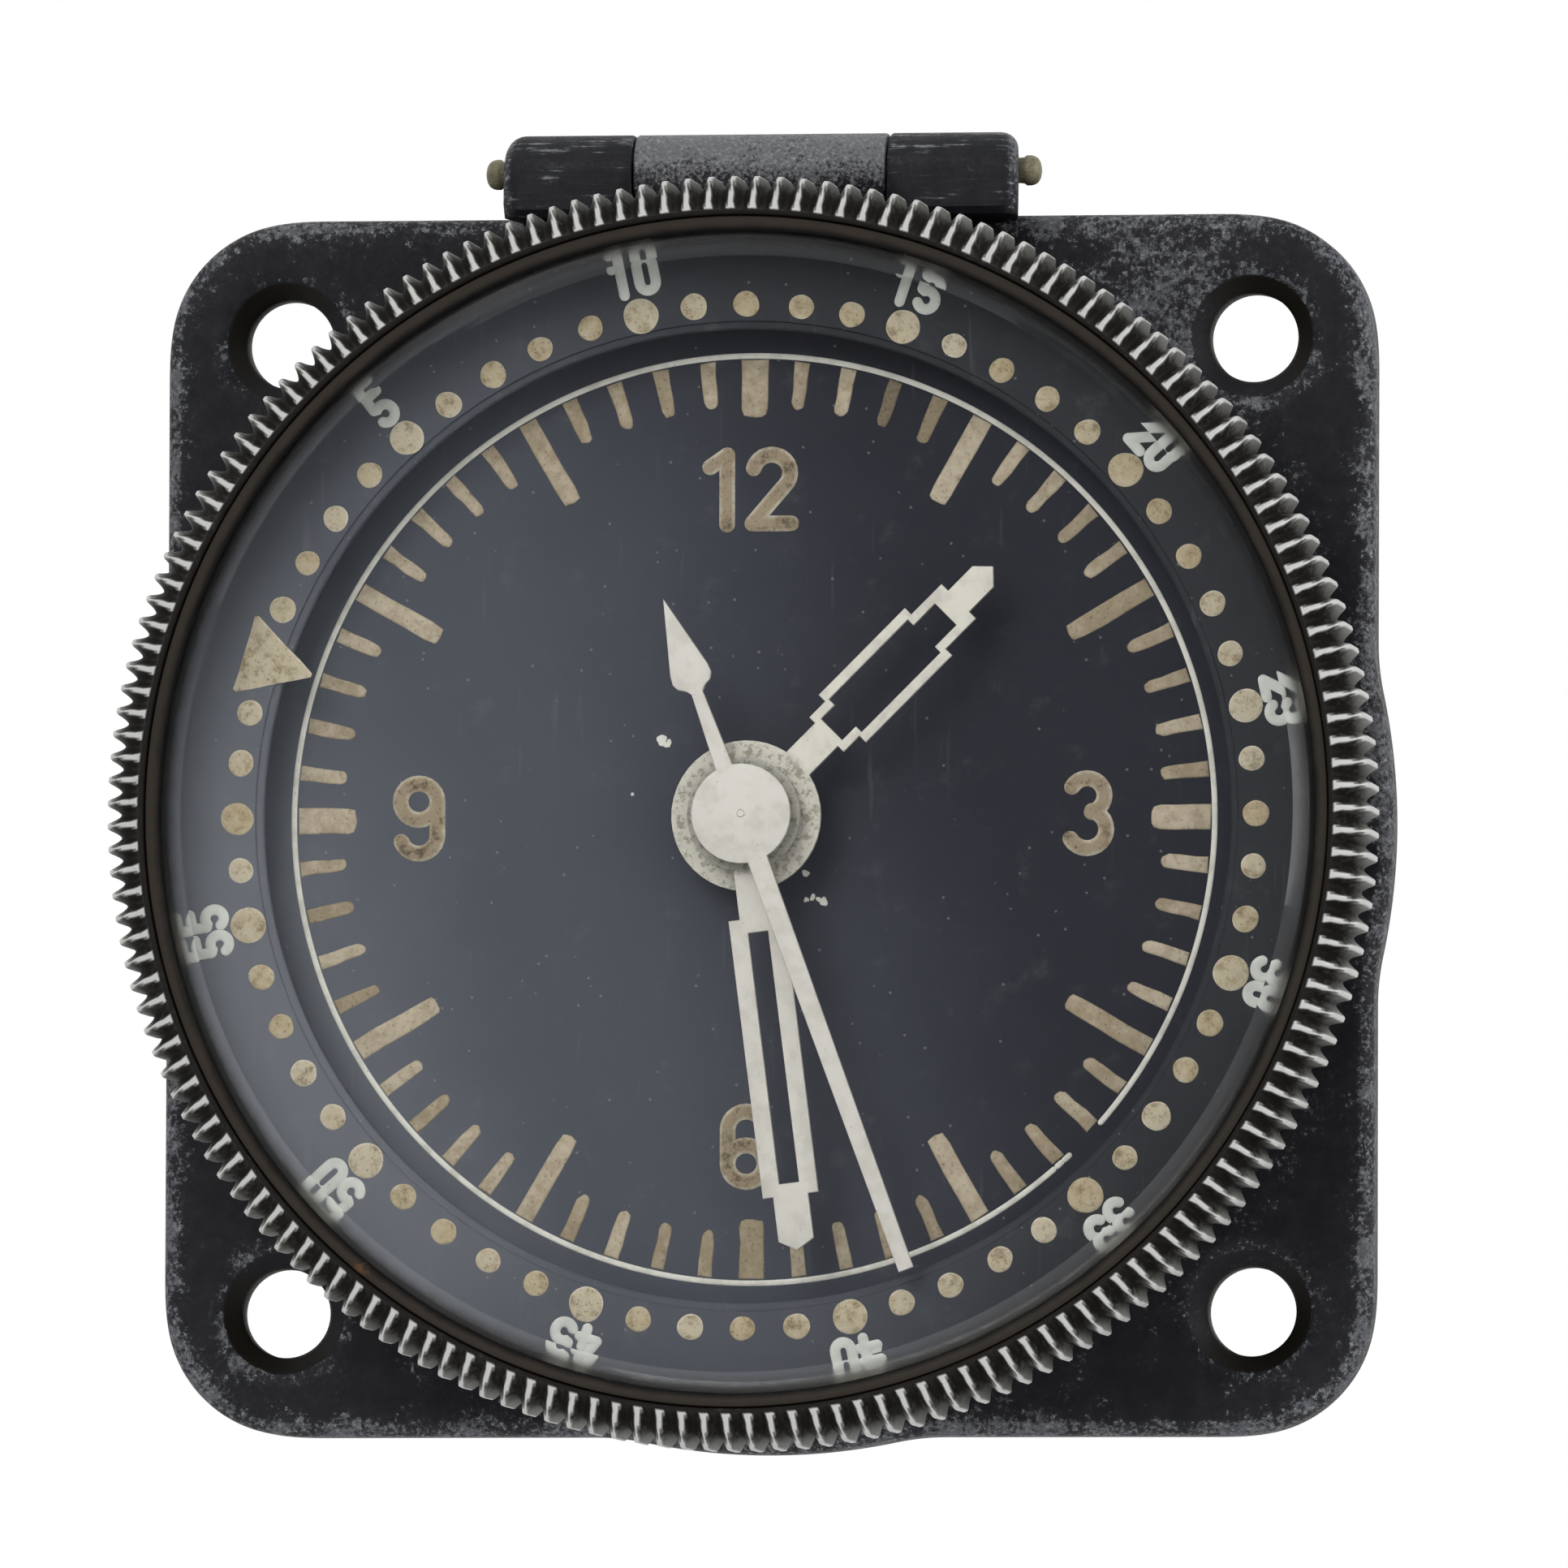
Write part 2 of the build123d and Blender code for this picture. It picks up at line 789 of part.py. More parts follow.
def hour_hand():
    """The short stepped hand with its open window, on the hour wheel's tube."""
    shape = hand_shape(hour_outline, hour_window) + Circle(hour_hub_r) - Circle(hour_tube_r)
    return hand_at(shape, hour_hand_angle, hour_hand_z)


def minute_hand():
    """The long hand with its open window, on the cannon pinion."""
    shape = hand_shape(minute_outline, minute_window) + Circle(minute_hub_r)
    return hand_at(shape - Circle(cannon_tube_r), minute_hand_angle, minute_hand_z)


def second_hand():
    """The sweep hand: a slim bar, a disc over the centre and a pointed tail."""
    tail = Rot(0, 0, 180) * hand_shape(tail_outline)
    shape = hand_shape(second_outline) + Circle(second_disc_r) + tail
    return hand_at(shape, second_hand_angle, second_hand_z)


def movement_plate(radius, low, holes):
    """A round movement plate with (place, radius) holes through it."""
    plate = disc(radius, low, low + plate_t)
    for at, hole in holes:
        plate -= disc(hole, low, low + plate_t, at)
    return plate


def train_pivot_holes():
    """The pivot holes that both plates share."""
    running = pivot_r + pivot_clear
    return [
        (third_at, running),
        (great_at, running),
        (escape_at, running),
        (pallet_at, running),
        (barrel_at, barrel_arbor_r + pivot_clear),
    ]


def front_plate():
    """The plate behind the dial, with the studs for the minute wheel and winding pinion."""
    holes = train_pivot_holes()
    holes.append((centre, centre_tube_r))
    holes.append((balance_at, staff_r + pivot_clear))
    holes += [(polar(pillar_place_r, angle), plate_screw_r) for angle in pillar_angles]
    holes += [(polar(case_screw_place_r, angle), case_screw_r) for angle in case_screw_angles]
    holes += [(polar(dial_foot_place_r, angle), dial_foot_r) for angle in dial_foot_angles]
    plate = movement_plate(plate_r, front_plate_z, holes)
    plate += disc(minute_stud_r, plate_seat_z, dial_seat_z - touch_gap, minute_wheel_at)
    plate += disc(winding_stud_r, plate_seat_z, dial_seat_z - touch_gap, winding_at)
    return plate


def rear_plate():
    """The rear movement plate."""
    holes = train_pivot_holes()
    holes.append((centre, seconds_arbor_r + pivot_clear))
    holes.append((balance_at, staff_r + pivot_clear))
    holes += [(polar(pillar_place_r, angle), plate_screw_r) for angle in pillar_angles]
    return movement_plate(rear_plate_r, rear_plate_z, holes)


def plate_pillars():
    """The three pillars between the plates."""
    return [
        tube(
            pillar_r,
            plate_screw_r,
            rear_plate_front_z,
            front_plate_z,
            polar(pillar_place_r, angle),
        )
        for angle in pillar_angles
    ]


def plate_screws():
    """The three screws through the rear plate into the pillars."""
    return [
        slotted_screw(
            polar(pillar_place_r, angle),
            rear_plate_z,
            plate_screw_head_r,
            plate_screw_head_t,
            plate_screw_r,
            plate_t + plate_screw_len,
        )
        for angle in pillar_angles
    ]


def movement_screws():
    """The three screws that hold the front plate against the case's shoulder."""
    return [
        slotted_screw(
            polar(case_screw_place_r, angle),
            front_plate_z,
            case_screw_head_r,
            case_screw_head_t,
            case_screw_r,
            case_screw_len,
        )
        for angle in case_screw_angles
    ]


def arbor(at):
    """A wheel's straight arbor, running in both plates."""
    return disc(pivot_r, rear_plate_z, plate_seat_z, at)


def centre_tube():
    """The fixed tube on the front plate that the cannon pinion turns on."""
    inner_r = seconds_arbor_r + tube_clear
    return tube(centre_tube_r, inner_r, front_plate_z, minute_hand_z + hand_t)


def cannon_pinion():
    """The pinion whose tube carries the minute hand."""
    toward = direction(centre, minute_wheel_at)
    low = plate_seat_z + 2 * end_shake
    pinion = gear(
        cannon_teeth, motion_module, gap_phase(cannon_teeth, toward), low, low + 3 * wheel_t
    )
    pinion += disc(cannon_tube_r, low, minute_hand_z + hand_t)
    return pinion - disc(centre_tube_r + tube_clear, low, minute_hand_z + hand_t)


def minute_wheel():
    """The wheel and pinion on a stud that gear the minute hand down to the hour hand."""
    toward = direction(minute_wheel_at, centre)
    low = plate_seat_z + 3 * end_shake
    wheel_top = low + wheel_t
    pinion_top = wheel_top + 4 * wheel_t
    wheel = gear(minute_wheel_teeth, motion_module, toward, low, wheel_top, minute_wheel_at)
    phase = gap_phase(minute_pinion_teeth, toward)
    wheel += gear(minute_pinion_teeth, motion_module, phase, wheel_top, pinion_top, minute_wheel_at)
    return wheel - disc(minute_stud_r + tube_clear, low, pinion_top, minute_wheel_at)


def hour_wheel():
    """The wheel whose tube carries the hour hand."""
    toward = direction(centre, minute_wheel_at)
    low = plate_seat_z + 3 * end_shake + 3 * wheel_t
    wheel = gear(hour_wheel_teeth, motion_module, toward, low, low + wheel_t)
    wheel += disc(hour_tube_r, low, hour_hand_z + hand_t)
    return wheel - disc(cannon_tube_r + tube_clear, low, hour_hand_z + hand_t)


def seconds_wheel():
    """The wheel at the centre whose long arbor carries the sweep hand."""
    toward = direction(centre, escape_at)
    wheel = gear(seconds_teeth, escape_module, toward, seconds_z, seconds_z + wheel_t)
    phase = gap_phase(seconds_pinion_teeth, direction(centre, third_at))
    low = third_z - pinion_extra
    high = third_z + wheel_t + pinion_extra
    wheel += gear(seconds_pinion_teeth, train_module, phase, low, high)
    return wheel + disc(seconds_arbor_r, rear_plate_z, second_hand_z)


def third_wheel():
    """The wheel between the great wheel and the seconds wheel."""
    toward = direction(third_at, centre)
    wheel = gear(third_teeth, train_module, toward, third_z, third_z + wheel_t, third_at)
    phase = gap_phase(third_pinion_teeth, direction(third_at, great_at))
    low = great_z - pinion_extra
    high = great_z + wheel_t + pinion_extra
    wheel += gear(third_pinion_teeth, train_module, phase, low, high, third_at)
    return wheel + arbor(third_at)


def great_wheel():
    """The wheel that turns once an hour, driven by the barrel."""
    toward = direction(great_at, third_at)
    wheel = gear(great_teeth, train_module, toward, great_z, great_z + wheel_t, great_at)
    phase = gap_phase(great_pinion_teeth, direction(great_at, barrel_at))
    high = barrel_z + barrel_band
    wheel += gear(great_pinion_teeth, train_module, phase, barrel_z, high, great_at)
    return wheel + arbor(great_at)


def barrel_drum_r():
    """The outer radius of the barrel's drum, inside the roots of its teeth."""
    return pitch_radius(barrel_teeth) - tooth_root * train_module


def mainspring_barrel():
    """The toothed drum that holds the mainspring."""
    toward = direction(barrel_at, great_at)
    barrel = gear(
        barrel_teeth, train_module, toward, barrel_z, barrel_z + barrel_band, barrel_at
    )
    top = barrel_z + barrel_h
    barrel += disc(barrel_drum_r(), barrel_z, top, barrel_at)
    barrel -= disc(barrel_drum_r() - barrel_wall, barrel_z + barrel_wall, top, barrel_at)
    return barrel - disc(barrel_arbor_r + tube_clear, barrel_z, top, barrel_at)


def barrel_cover():
    """The lid snapped into the barrel."""
    top = barrel_z + barrel_h
    outer_r = barrel_drum_r() - barrel_wall
    return tube(outer_r, barrel_arbor_r + tube_clear, top - barrel_cover_t, top, barrel_at)


def mainspring():
    """The wound mainspring, as the ring that its turns fill."""
    low = barrel_z + barrel_wall + end_shake
    high = barrel_z + barrel_h - barrel_cover_t - end_shake
    outer_r = barrel_drum_r() - barrel_wall - mainspring_gap
    return tube(outer_r, mainspring_inner_r, low, high, barrel_at)


def barrel_arbor():
    """The arbor that winds the mainspring, with its hook hub and its front end for the ratchet."""
    rod = disc(barrel_arbor_r, rear_plate_z, barrel_arbor_tip_z, barrel_at)
    low = barrel_z + barrel_wall + end_shake
    high = barrel_z + barrel_h - barrel_cover_t - end_shake
    return rod + disc(mainspring_inner_r - mainspring_gap, low, high, barrel_at)


def ratchet_wheel():
    """The wheel on the barrel arbor that the winding pinion drives."""
    toward = direction(barrel_at, winding_at)
    low = plate_seat_z + end_shake
    wheel = gear(ratchet_teeth, winding_module, toward, low, low + winding_t, barrel_at)
    return wheel - disc(barrel_arbor_r, low, low + winding_t, barrel_at)


def winding_pinion():
    """The pinion between the bezel's inner teeth and the ratchet wheel."""
    phase = gap_phase(winding_pinion_teeth, direction(winding_at, barrel_at))
    low = plate_seat_z + end_shake
    pinion = gear(winding_pinion_teeth, winding_module, phase, low, ring_teeth_top, winding_at)
    return pinion - disc(pinion_bore_r, low, ring_teeth_top, winding_at)


def click_spring():
    """The spring click: a post on the front plate with a wire whose nose holds the ratchet."""
    tooth = 360.0 / ratchet_teeth
    nose_angle = direction(barrel_at, winding_at) + click_space_count * tooth
    pitch_r = pitch_radius(ratchet_teeth, winding_module)
    post_r = pitch_r + tooth_tip * winding_module + click_post_r + click_post_clear
    nose = moved_from(barrel_at, pitch_r - click_nose_depth, nose_angle)
    bend = moved_from(barrel_at, post_r, nose_angle)
    post = moved_from(barrel_at, post_r, nose_angle + click_post_turn)
    low = plate_seat_z + end_shake
    wire = trace(Polyline(nose, bend, post), click_wire)
    click = Pos(0, 0, low) * extrude(wire, click_wire)
    return click + disc(click_post_r, plate_seat_z, low + winding_t, post)


def escape_wheel():
    """The escape wheel with its pinion."""
    share = escape_tooth_share
    tooth = 360.0 / escape_teeth
    phase = escape_line_angle + tooth / 2
    points = ring_of_teeth(escape_teeth, escape_root_r, escape_r, phase, escape_at, share)
    wheel = prism(points, escape_z, escape_z + wheel_t)
    toward = direction(escape_at, centre)
    low = seconds_z - pinion_extra
    high = seconds_z + wheel_t + pinion_extra
    phase = gap_phase(escape_pinion_teeth, toward)
    wheel += gear(escape_pinion_teeth, escape_module, phase, low, high, escape_at)
    return wheel + arbor(escape_at)


def pallet_fork():
    """The pallet fork: two pallets at the wheel, a hub and the slotted tail at the balance."""
    span = radians(pallet_span_deg / 2)
    edge_r = escape_r + pallet_lock_gap
    face = (edge_r * cos(span) - pallet_reach, edge_r * sin(span))
    along = (-sin(span) * pallet_w / 2, cos(span) * pallet_w / 2)
    out = (cos(span) * pallet_len, sin(span) * pallet_len)
    half = (
        (-pallet_waist, pallet_len),
        (face[0] - along[0], face[1] - along[1]),
        (face[0] + along[0], face[1] + along[1]),
        (face[0] + along[0] + out[0], face[1] + along[1] + out[1]),
        (pallet_len / 2, pallet_hub_r),
        (pallet_hub_r, fork_neck),
        (fork_slot_floor - fork_horn_w, fork_neck),
        (fork_slot_floor, fork_horn_w),
        (fork_horn_reach, fork_horn_w),
        (fork_horn_reach, fork_slot),
        (fork_slot_floor, fork_slot),
    )
    points = half + tuple((x, -y) for x, y in reversed(half))
    fork = make_face(Polyline(*points, close=True)) + Circle(pallet_hub_r)
    place = Pos(pallet_at[0], pallet_at[1], escape_z) * Rot(0, 0, escape_line_angle)
    return place * extrude(fork, wheel_t) + arbor(pallet_at)


def balance_wheel():
    """The balance with its arm, staff, roller and impulse pin."""
    top = rear_plate_z - balance_gap
    low = top - balance_t
    wheel = tube(balance_r, balance_r - balance_rim_w, low, top, balance_at)
    arm = Box(2 * balance_r - balance_rim_w, balance_arm_w, balance_t)
    wheel += Pos(balance_at[0], balance_at[1], low + balance_t / 2) * Rot(0, 0, cock_angle) * arm
    wheel += disc(staff_r, low - balance_gap - cock_t, plate_seat_z, balance_at)
    roller_top = escape_z - pinion_extra
    wheel += disc(roller_r, roller_top - roller_t, roller_top, balance_at)
    pin_at = moved_from(balance_at, impulse_place_r, escape_line_angle + 180)
    return wheel + disc(impulse_r, roller_top, escape_z + wheel_t, pin_at)


def hairspring():
    """The balance spring: a flat spiral of square wire between staff and rim."""
    count = hairspring_turn_count * hairspring_point_count
    centre_line = []
    for i in range(count + 1):
        radius = hairspring_inner_r + hairspring_pitch * i / hairspring_point_count
        centre_line.append(polar(radius, i * 360.0 / hairspring_point_count))
    strip = trace(Polyline(*centre_line), hairspring_t)
    low = rear_plate_z - balance_gap / 2 - hairspring_w / 2
    coil = Pos(balance_at[0], balance_at[1], low) * extrude(strip, hairspring_w)
    collet = tube(hairspring_inner_r, staff_r, low, low + hairspring_w, balance_at)
    return coil + collet


def balance_cock():
    """The bridge that carries the balance's rear pivot."""
    foot_at = moved_from(balance_at, cock_reach, cock_angle)
    bar_top = rear_plate_z - 2 * balance_gap - balance_t
    low = bar_top - cock_t
    foot = disc(cock_w / 2, low, rear_plate_z, foot_at)
    bar = Pos(cock_reach / 2, 0, cock_t / 2) * Box(cock_reach, cock_w, cock_t)
    bar = Pos(balance_at[0], balance_at[1], low) * Rot(0, 0, cock_angle) * bar
    cock = foot + bar + disc(cock_w / 2, low, bar_top, balance_at)
    cock -= disc(staff_r + pivot_clear, low, bar_top, balance_at)
    return cock - disc(plate_screw_r, low, rear_plate_z, foot_at)


def cock_screw():
    """The screw that holds the cock on the rear plate."""
    foot_at = moved_from(balance_at, cock_reach, cock_angle)
    face_z = rear_plate_z - 2 * balance_gap - balance_t - cock_t
    return slotted_screw(
        foot_at,
        face_z,
        plate_screw_head_r,
        plate_screw_head_t,
        plate_screw_r,
        rear_plate_z - face_z,
    )


pieces = (
    case_body,
    rear_cover,
    rear_cover_screws,
    hinge_pin,
    setting_lever,
    setting_plunger,
    plunger_spring,
    bezel,
    bezel_spring,
    glass,
    glass_ring,
    scale_ring,
    scale_markers,
    dial,
    dial_markers,
    hour_hand,
    minute_hand,
    second_hand,
    front_plate,
    rear_plate,
    plate_pillars,
    plate_screws,
    movement_screws,
    centre_tube,
    cannon_pinion,
    minute_wheel,
    hour_wheel,
    seconds_wheel,
    third_wheel,
    great_wheel,
    mainspring_barrel,
    barrel_cover,
    mainspring,
    barrel_arbor,
    ratchet_wheel,
    winding_pinion,
    click_spring,
    escape_wheel,
    pallet_fork,
    balance_wheel,
    hairspring,
    balance_cock,
    cock_screw,
)


def stored(shape):
    """Turn a piece from the face frame into the stored frame: +Z up, dial towards -Y."""
    solids = shape if isinstance(shape, list) else shape.solids()
    turned_solids = [Rot(90, 0, 0) * solid for solid in solids]
    return turned_solids[0] if len(turned_solids) == 1 else Compound(children=turned_solids)


def main():
    """Write one STEP file for each piece."""
    os.makedirs("parts", exist_ok=True)
    for piece in pieces:
        export_step(stored(piece()), f"parts/{piece.__name__}.step")


if __name__ == "__main__":
    main()
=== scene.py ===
"""Looks, light and camera for a square-flanged aircraft cockpit clock.

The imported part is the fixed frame. Pieces are drawn in the face frame of the dial (X to the
right, Y to twelve o'clock, Z out of the dial, millimetres, Z = 0 on the flange's rear face) and
face_point() turns them into the frame's metres.
"""
import logging
import math
import random
from dataclasses import dataclass, field
from enum import Enum
from typing import Callable, Iterable, Sequence

import bmesh
import bpy
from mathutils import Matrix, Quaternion, Vector
from mathutils.geometry import delaunay_2d_cdt


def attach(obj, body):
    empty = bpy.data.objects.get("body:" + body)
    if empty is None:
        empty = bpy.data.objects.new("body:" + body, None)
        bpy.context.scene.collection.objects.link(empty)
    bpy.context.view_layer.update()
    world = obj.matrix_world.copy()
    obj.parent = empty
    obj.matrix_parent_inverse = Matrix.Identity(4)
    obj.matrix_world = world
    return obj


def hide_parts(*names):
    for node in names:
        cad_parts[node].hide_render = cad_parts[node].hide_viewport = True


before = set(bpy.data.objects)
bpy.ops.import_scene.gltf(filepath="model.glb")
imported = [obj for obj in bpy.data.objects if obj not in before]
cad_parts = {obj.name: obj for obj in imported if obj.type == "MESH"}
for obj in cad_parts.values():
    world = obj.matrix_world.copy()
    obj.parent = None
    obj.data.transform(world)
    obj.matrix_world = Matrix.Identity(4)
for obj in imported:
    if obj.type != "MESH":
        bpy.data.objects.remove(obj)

MM = 0.001
FULL_TURN = 2 * math.pi
MINUTES = 60
MARK = "mark"
TONE = "tone"
# The range that most values of a cloud noise lie in.
NOISE_LOW = 0.3
NOISE_HIGH = 0.7
# The least length of the two normals' sum at a corner, so that a sharp one isn't thrown far out.
CORNER_FLOOR = 0.8
# The step of an arc's points in degrees.
ARC_STEP = 15
# The hinge's axis and its knuckles' radius, which the casting and the lever share.
HINGE_Y = 32.1
HINGE_Z = 4.5
KNUCKLE_RADIUS = 1.9

Flat = tuple[float, float]
Point = tuple[float, float, float]
Colour = tuple[float, float, float, float]
Signal = bpy.types.NodeSocket | float

log = logging.getLogger("cockpit_clock")


def face_point(x: float, y: float, z: float) -> Point:
    """Turn a face-frame point in millimetres into the frame's metres."""
    return (x * MM, -z * MM, y * MM)


def on_clock(radius: float, angle: float) -> Flat:
    """Give the face point at a radius and a clockwise angle in degrees from twelve o'clock."""
    turn = math.radians(90.0 - angle)
    return (radius * math.cos(turn), radius * math.sin(turn))


def ring_angles(count: int) -> list[float]:
    """Give evenly spaced angles round a full turn, in radians."""
    return [FULL_TURN * i / count for i in range(count)]


def circle(radius: float, count: int, at: Flat = (0.0, 0.0)) -> list[Flat]:
    """Give the points of a circle.

    Args:
        radius: Its radius.
        count: How many points it has.
        at: Its middle.

    Returns:
        The points, anticlockwise.
    """
    return [
        (at[0] + radius * math.cos(a), at[1] + radius * math.sin(a)) for a in ring_angles(count)
    ]


def paint(red: int, green: int, blue: int) -> Colour:
    """Turn an 8-bit display colour into the linear colour that the shaders use.

    Args:
        red: The red channel, 0 to 255.
        green: The green channel.
        blue: The blue channel.

    Returns:
        The linear colour, opaque.
    """
    def linear(value: int) -> float:
        """Undo the display curve for one channel."""
        share = value / 255
        return share / 12.92 if share <= 0.04045 else ((share + 0.055) / 1.055) ** 2.4

    return (linear(red), linear(green), linear(blue), 1.0)


def smooth_step(value: float, low: float, high: float) -> float:
    """Rise smoothly from 0 at low to 1 at high."""
    share = min(1.0, max(0.0, (value - low) / (high - low)))
    return share * share * (3 - 2 * share)


def turned_loop(loop: Iterable[Flat], angle: float) -> list[Flat]:
    """Turn a loop that is drawn along +X to its place on the clock.

    Args:
        loop: The loop.
        angle: Its place, in degrees clockwise from twelve o'clock.

    Returns:
        The turned loop.
    """
    turn = math.radians(90.0 - angle)
    cosine, sine = math.cos(turn), math.sin(turn)
    return [(x * cosine - y * sine, x * sine + y * cosine) for x, y in loop]


def add_object(name: str, data: bpy.types.ID) -> bpy.types.Object:
    """Put an object into the scene.

    Args:
        name: Its name.
        data: Its mesh, lamp or camera.

    Returns:
        The new object.
    """
    added = bpy.data.objects.new(name, data)
    bpy.context.scene.collection.objects.link(added)
    return added


class Body(Enum):
    """The bodies that pieces ride on."""

    CASE = "case"
    BEZEL = "bezel"
    LEVER = "lever"
    HOUR = "hour"
    MINUTE = "minute"
    SECONDS = "seconds"


class Slot(Enum):
    """The record's material slots."""

    LACQUER = "case_lacquer"
    BEZEL_METAL = "bezel_metal"
    BROWN = "ring_brown"
    GLASS = "glass"
    SCALE = "scale_black"
    LUME = "lume"
    HAND_WHITE = "hand_white"
    PIN = "pin_brass"


class TreeWriter:
    """Writes nodes into one shader tree."""

    def __init__(self, tree: bpy.types.NodeTree) -> None:
        """Empty the tree and keep it."""
        self.tree = tree
        self.tree.nodes.clear()

    def add(self, kind: str, **settings: object) -> bpy.types.Node:
        """Add a node and set its properties.

        Args:
            kind: The node's type name.
            settings: Properties to set on it.

        Returns:
            The new node.
        """
        node = self.tree.nodes.new(kind)
        for key, value in settings.items():
            setattr(node, key, value)
        return node

    def join(self, source: bpy.types.NodeSocket, target: bpy.types.NodeSocket) -> None:
        """Link an output to an input."""
        self.tree.links.new(source, target)

    def feed(self, target: bpy.types.NodeSocket, value: object) -> None:
        """Link a signal to an input, or set a plain value on it.

        Args:
            target: The input.
            value: An output to link, or the value to set.
        """
        if isinstance(value, bpy.types.NodeSocket):
            self.join(value, target)
        else:
            target.default_value = value

    def math(self, operation: str, first: Signal, second: Signal = 0.0) -> bpy.types.NodeSocket:
        """Combine two signals.

        Args:
            operation: The Math node's operation.
            first: The first value or signal.
            second: The second value or signal.

        Returns:
            The result.
        """
        node = self.add("ShaderNodeMath", operation=operation)
        self.feed(node.inputs[0], first)
        self.feed(node.inputs[1], second)
        return node.outputs[0]

    def total(self, *signals: Signal) -> bpy.types.NodeSocket:
        """Add up several signals.

        Args:
            signals: Two or more values or signals.

        Returns:
            Their sum.
        """
        result = signals[0]
        for signal in signals[1:]:
            result = self.math("ADD", result, signal)
        return result

    def times(self, first: Signal, second: Signal) -> bpy.types.NodeSocket:
        """Multiply two signals."""
        return self.math("MULTIPLY", first, second)

    def between(
        self, signal: Signal, low: float, high: float, start: float = 0.0, end: float = 1.0
    ) -> bpy.types.NodeSocket:
        """Turn a range of a signal into a smooth step.

        Args:
            signal: The signal to read.
            low: Where the step starts.
            high: Where it ends.
            start: The result before the step.
            end: The result after it.

        Returns:
            The stepped signal.
        """
        node = self.add("ShaderNodeMapRange", interpolation_type="SMOOTHSTEP")
        self.feed(node.inputs["Value"], signal)
        for key, value in (("From Min", low), ("From Max", high), ("To Min", start), ("To Max", end)):
            node.inputs[key].default_value = value
        return node.outputs[0]

    def mixed(self, share: Signal, first: Signal, second: Signal) -> bpy.types.NodeSocket:
        """Mix two values.

        Args:
            share: 0 for the first value and up to 1 for the second.
            first: The first value or signal.
            second: The second value or signal.

        Returns:
            The mixed value.
        """
        node = self.add("ShaderNodeMix")
        for index, value in ((0, share), (2, first), (3, second)):
            self.feed(node.inputs[index], value)
        return node.outputs[0]


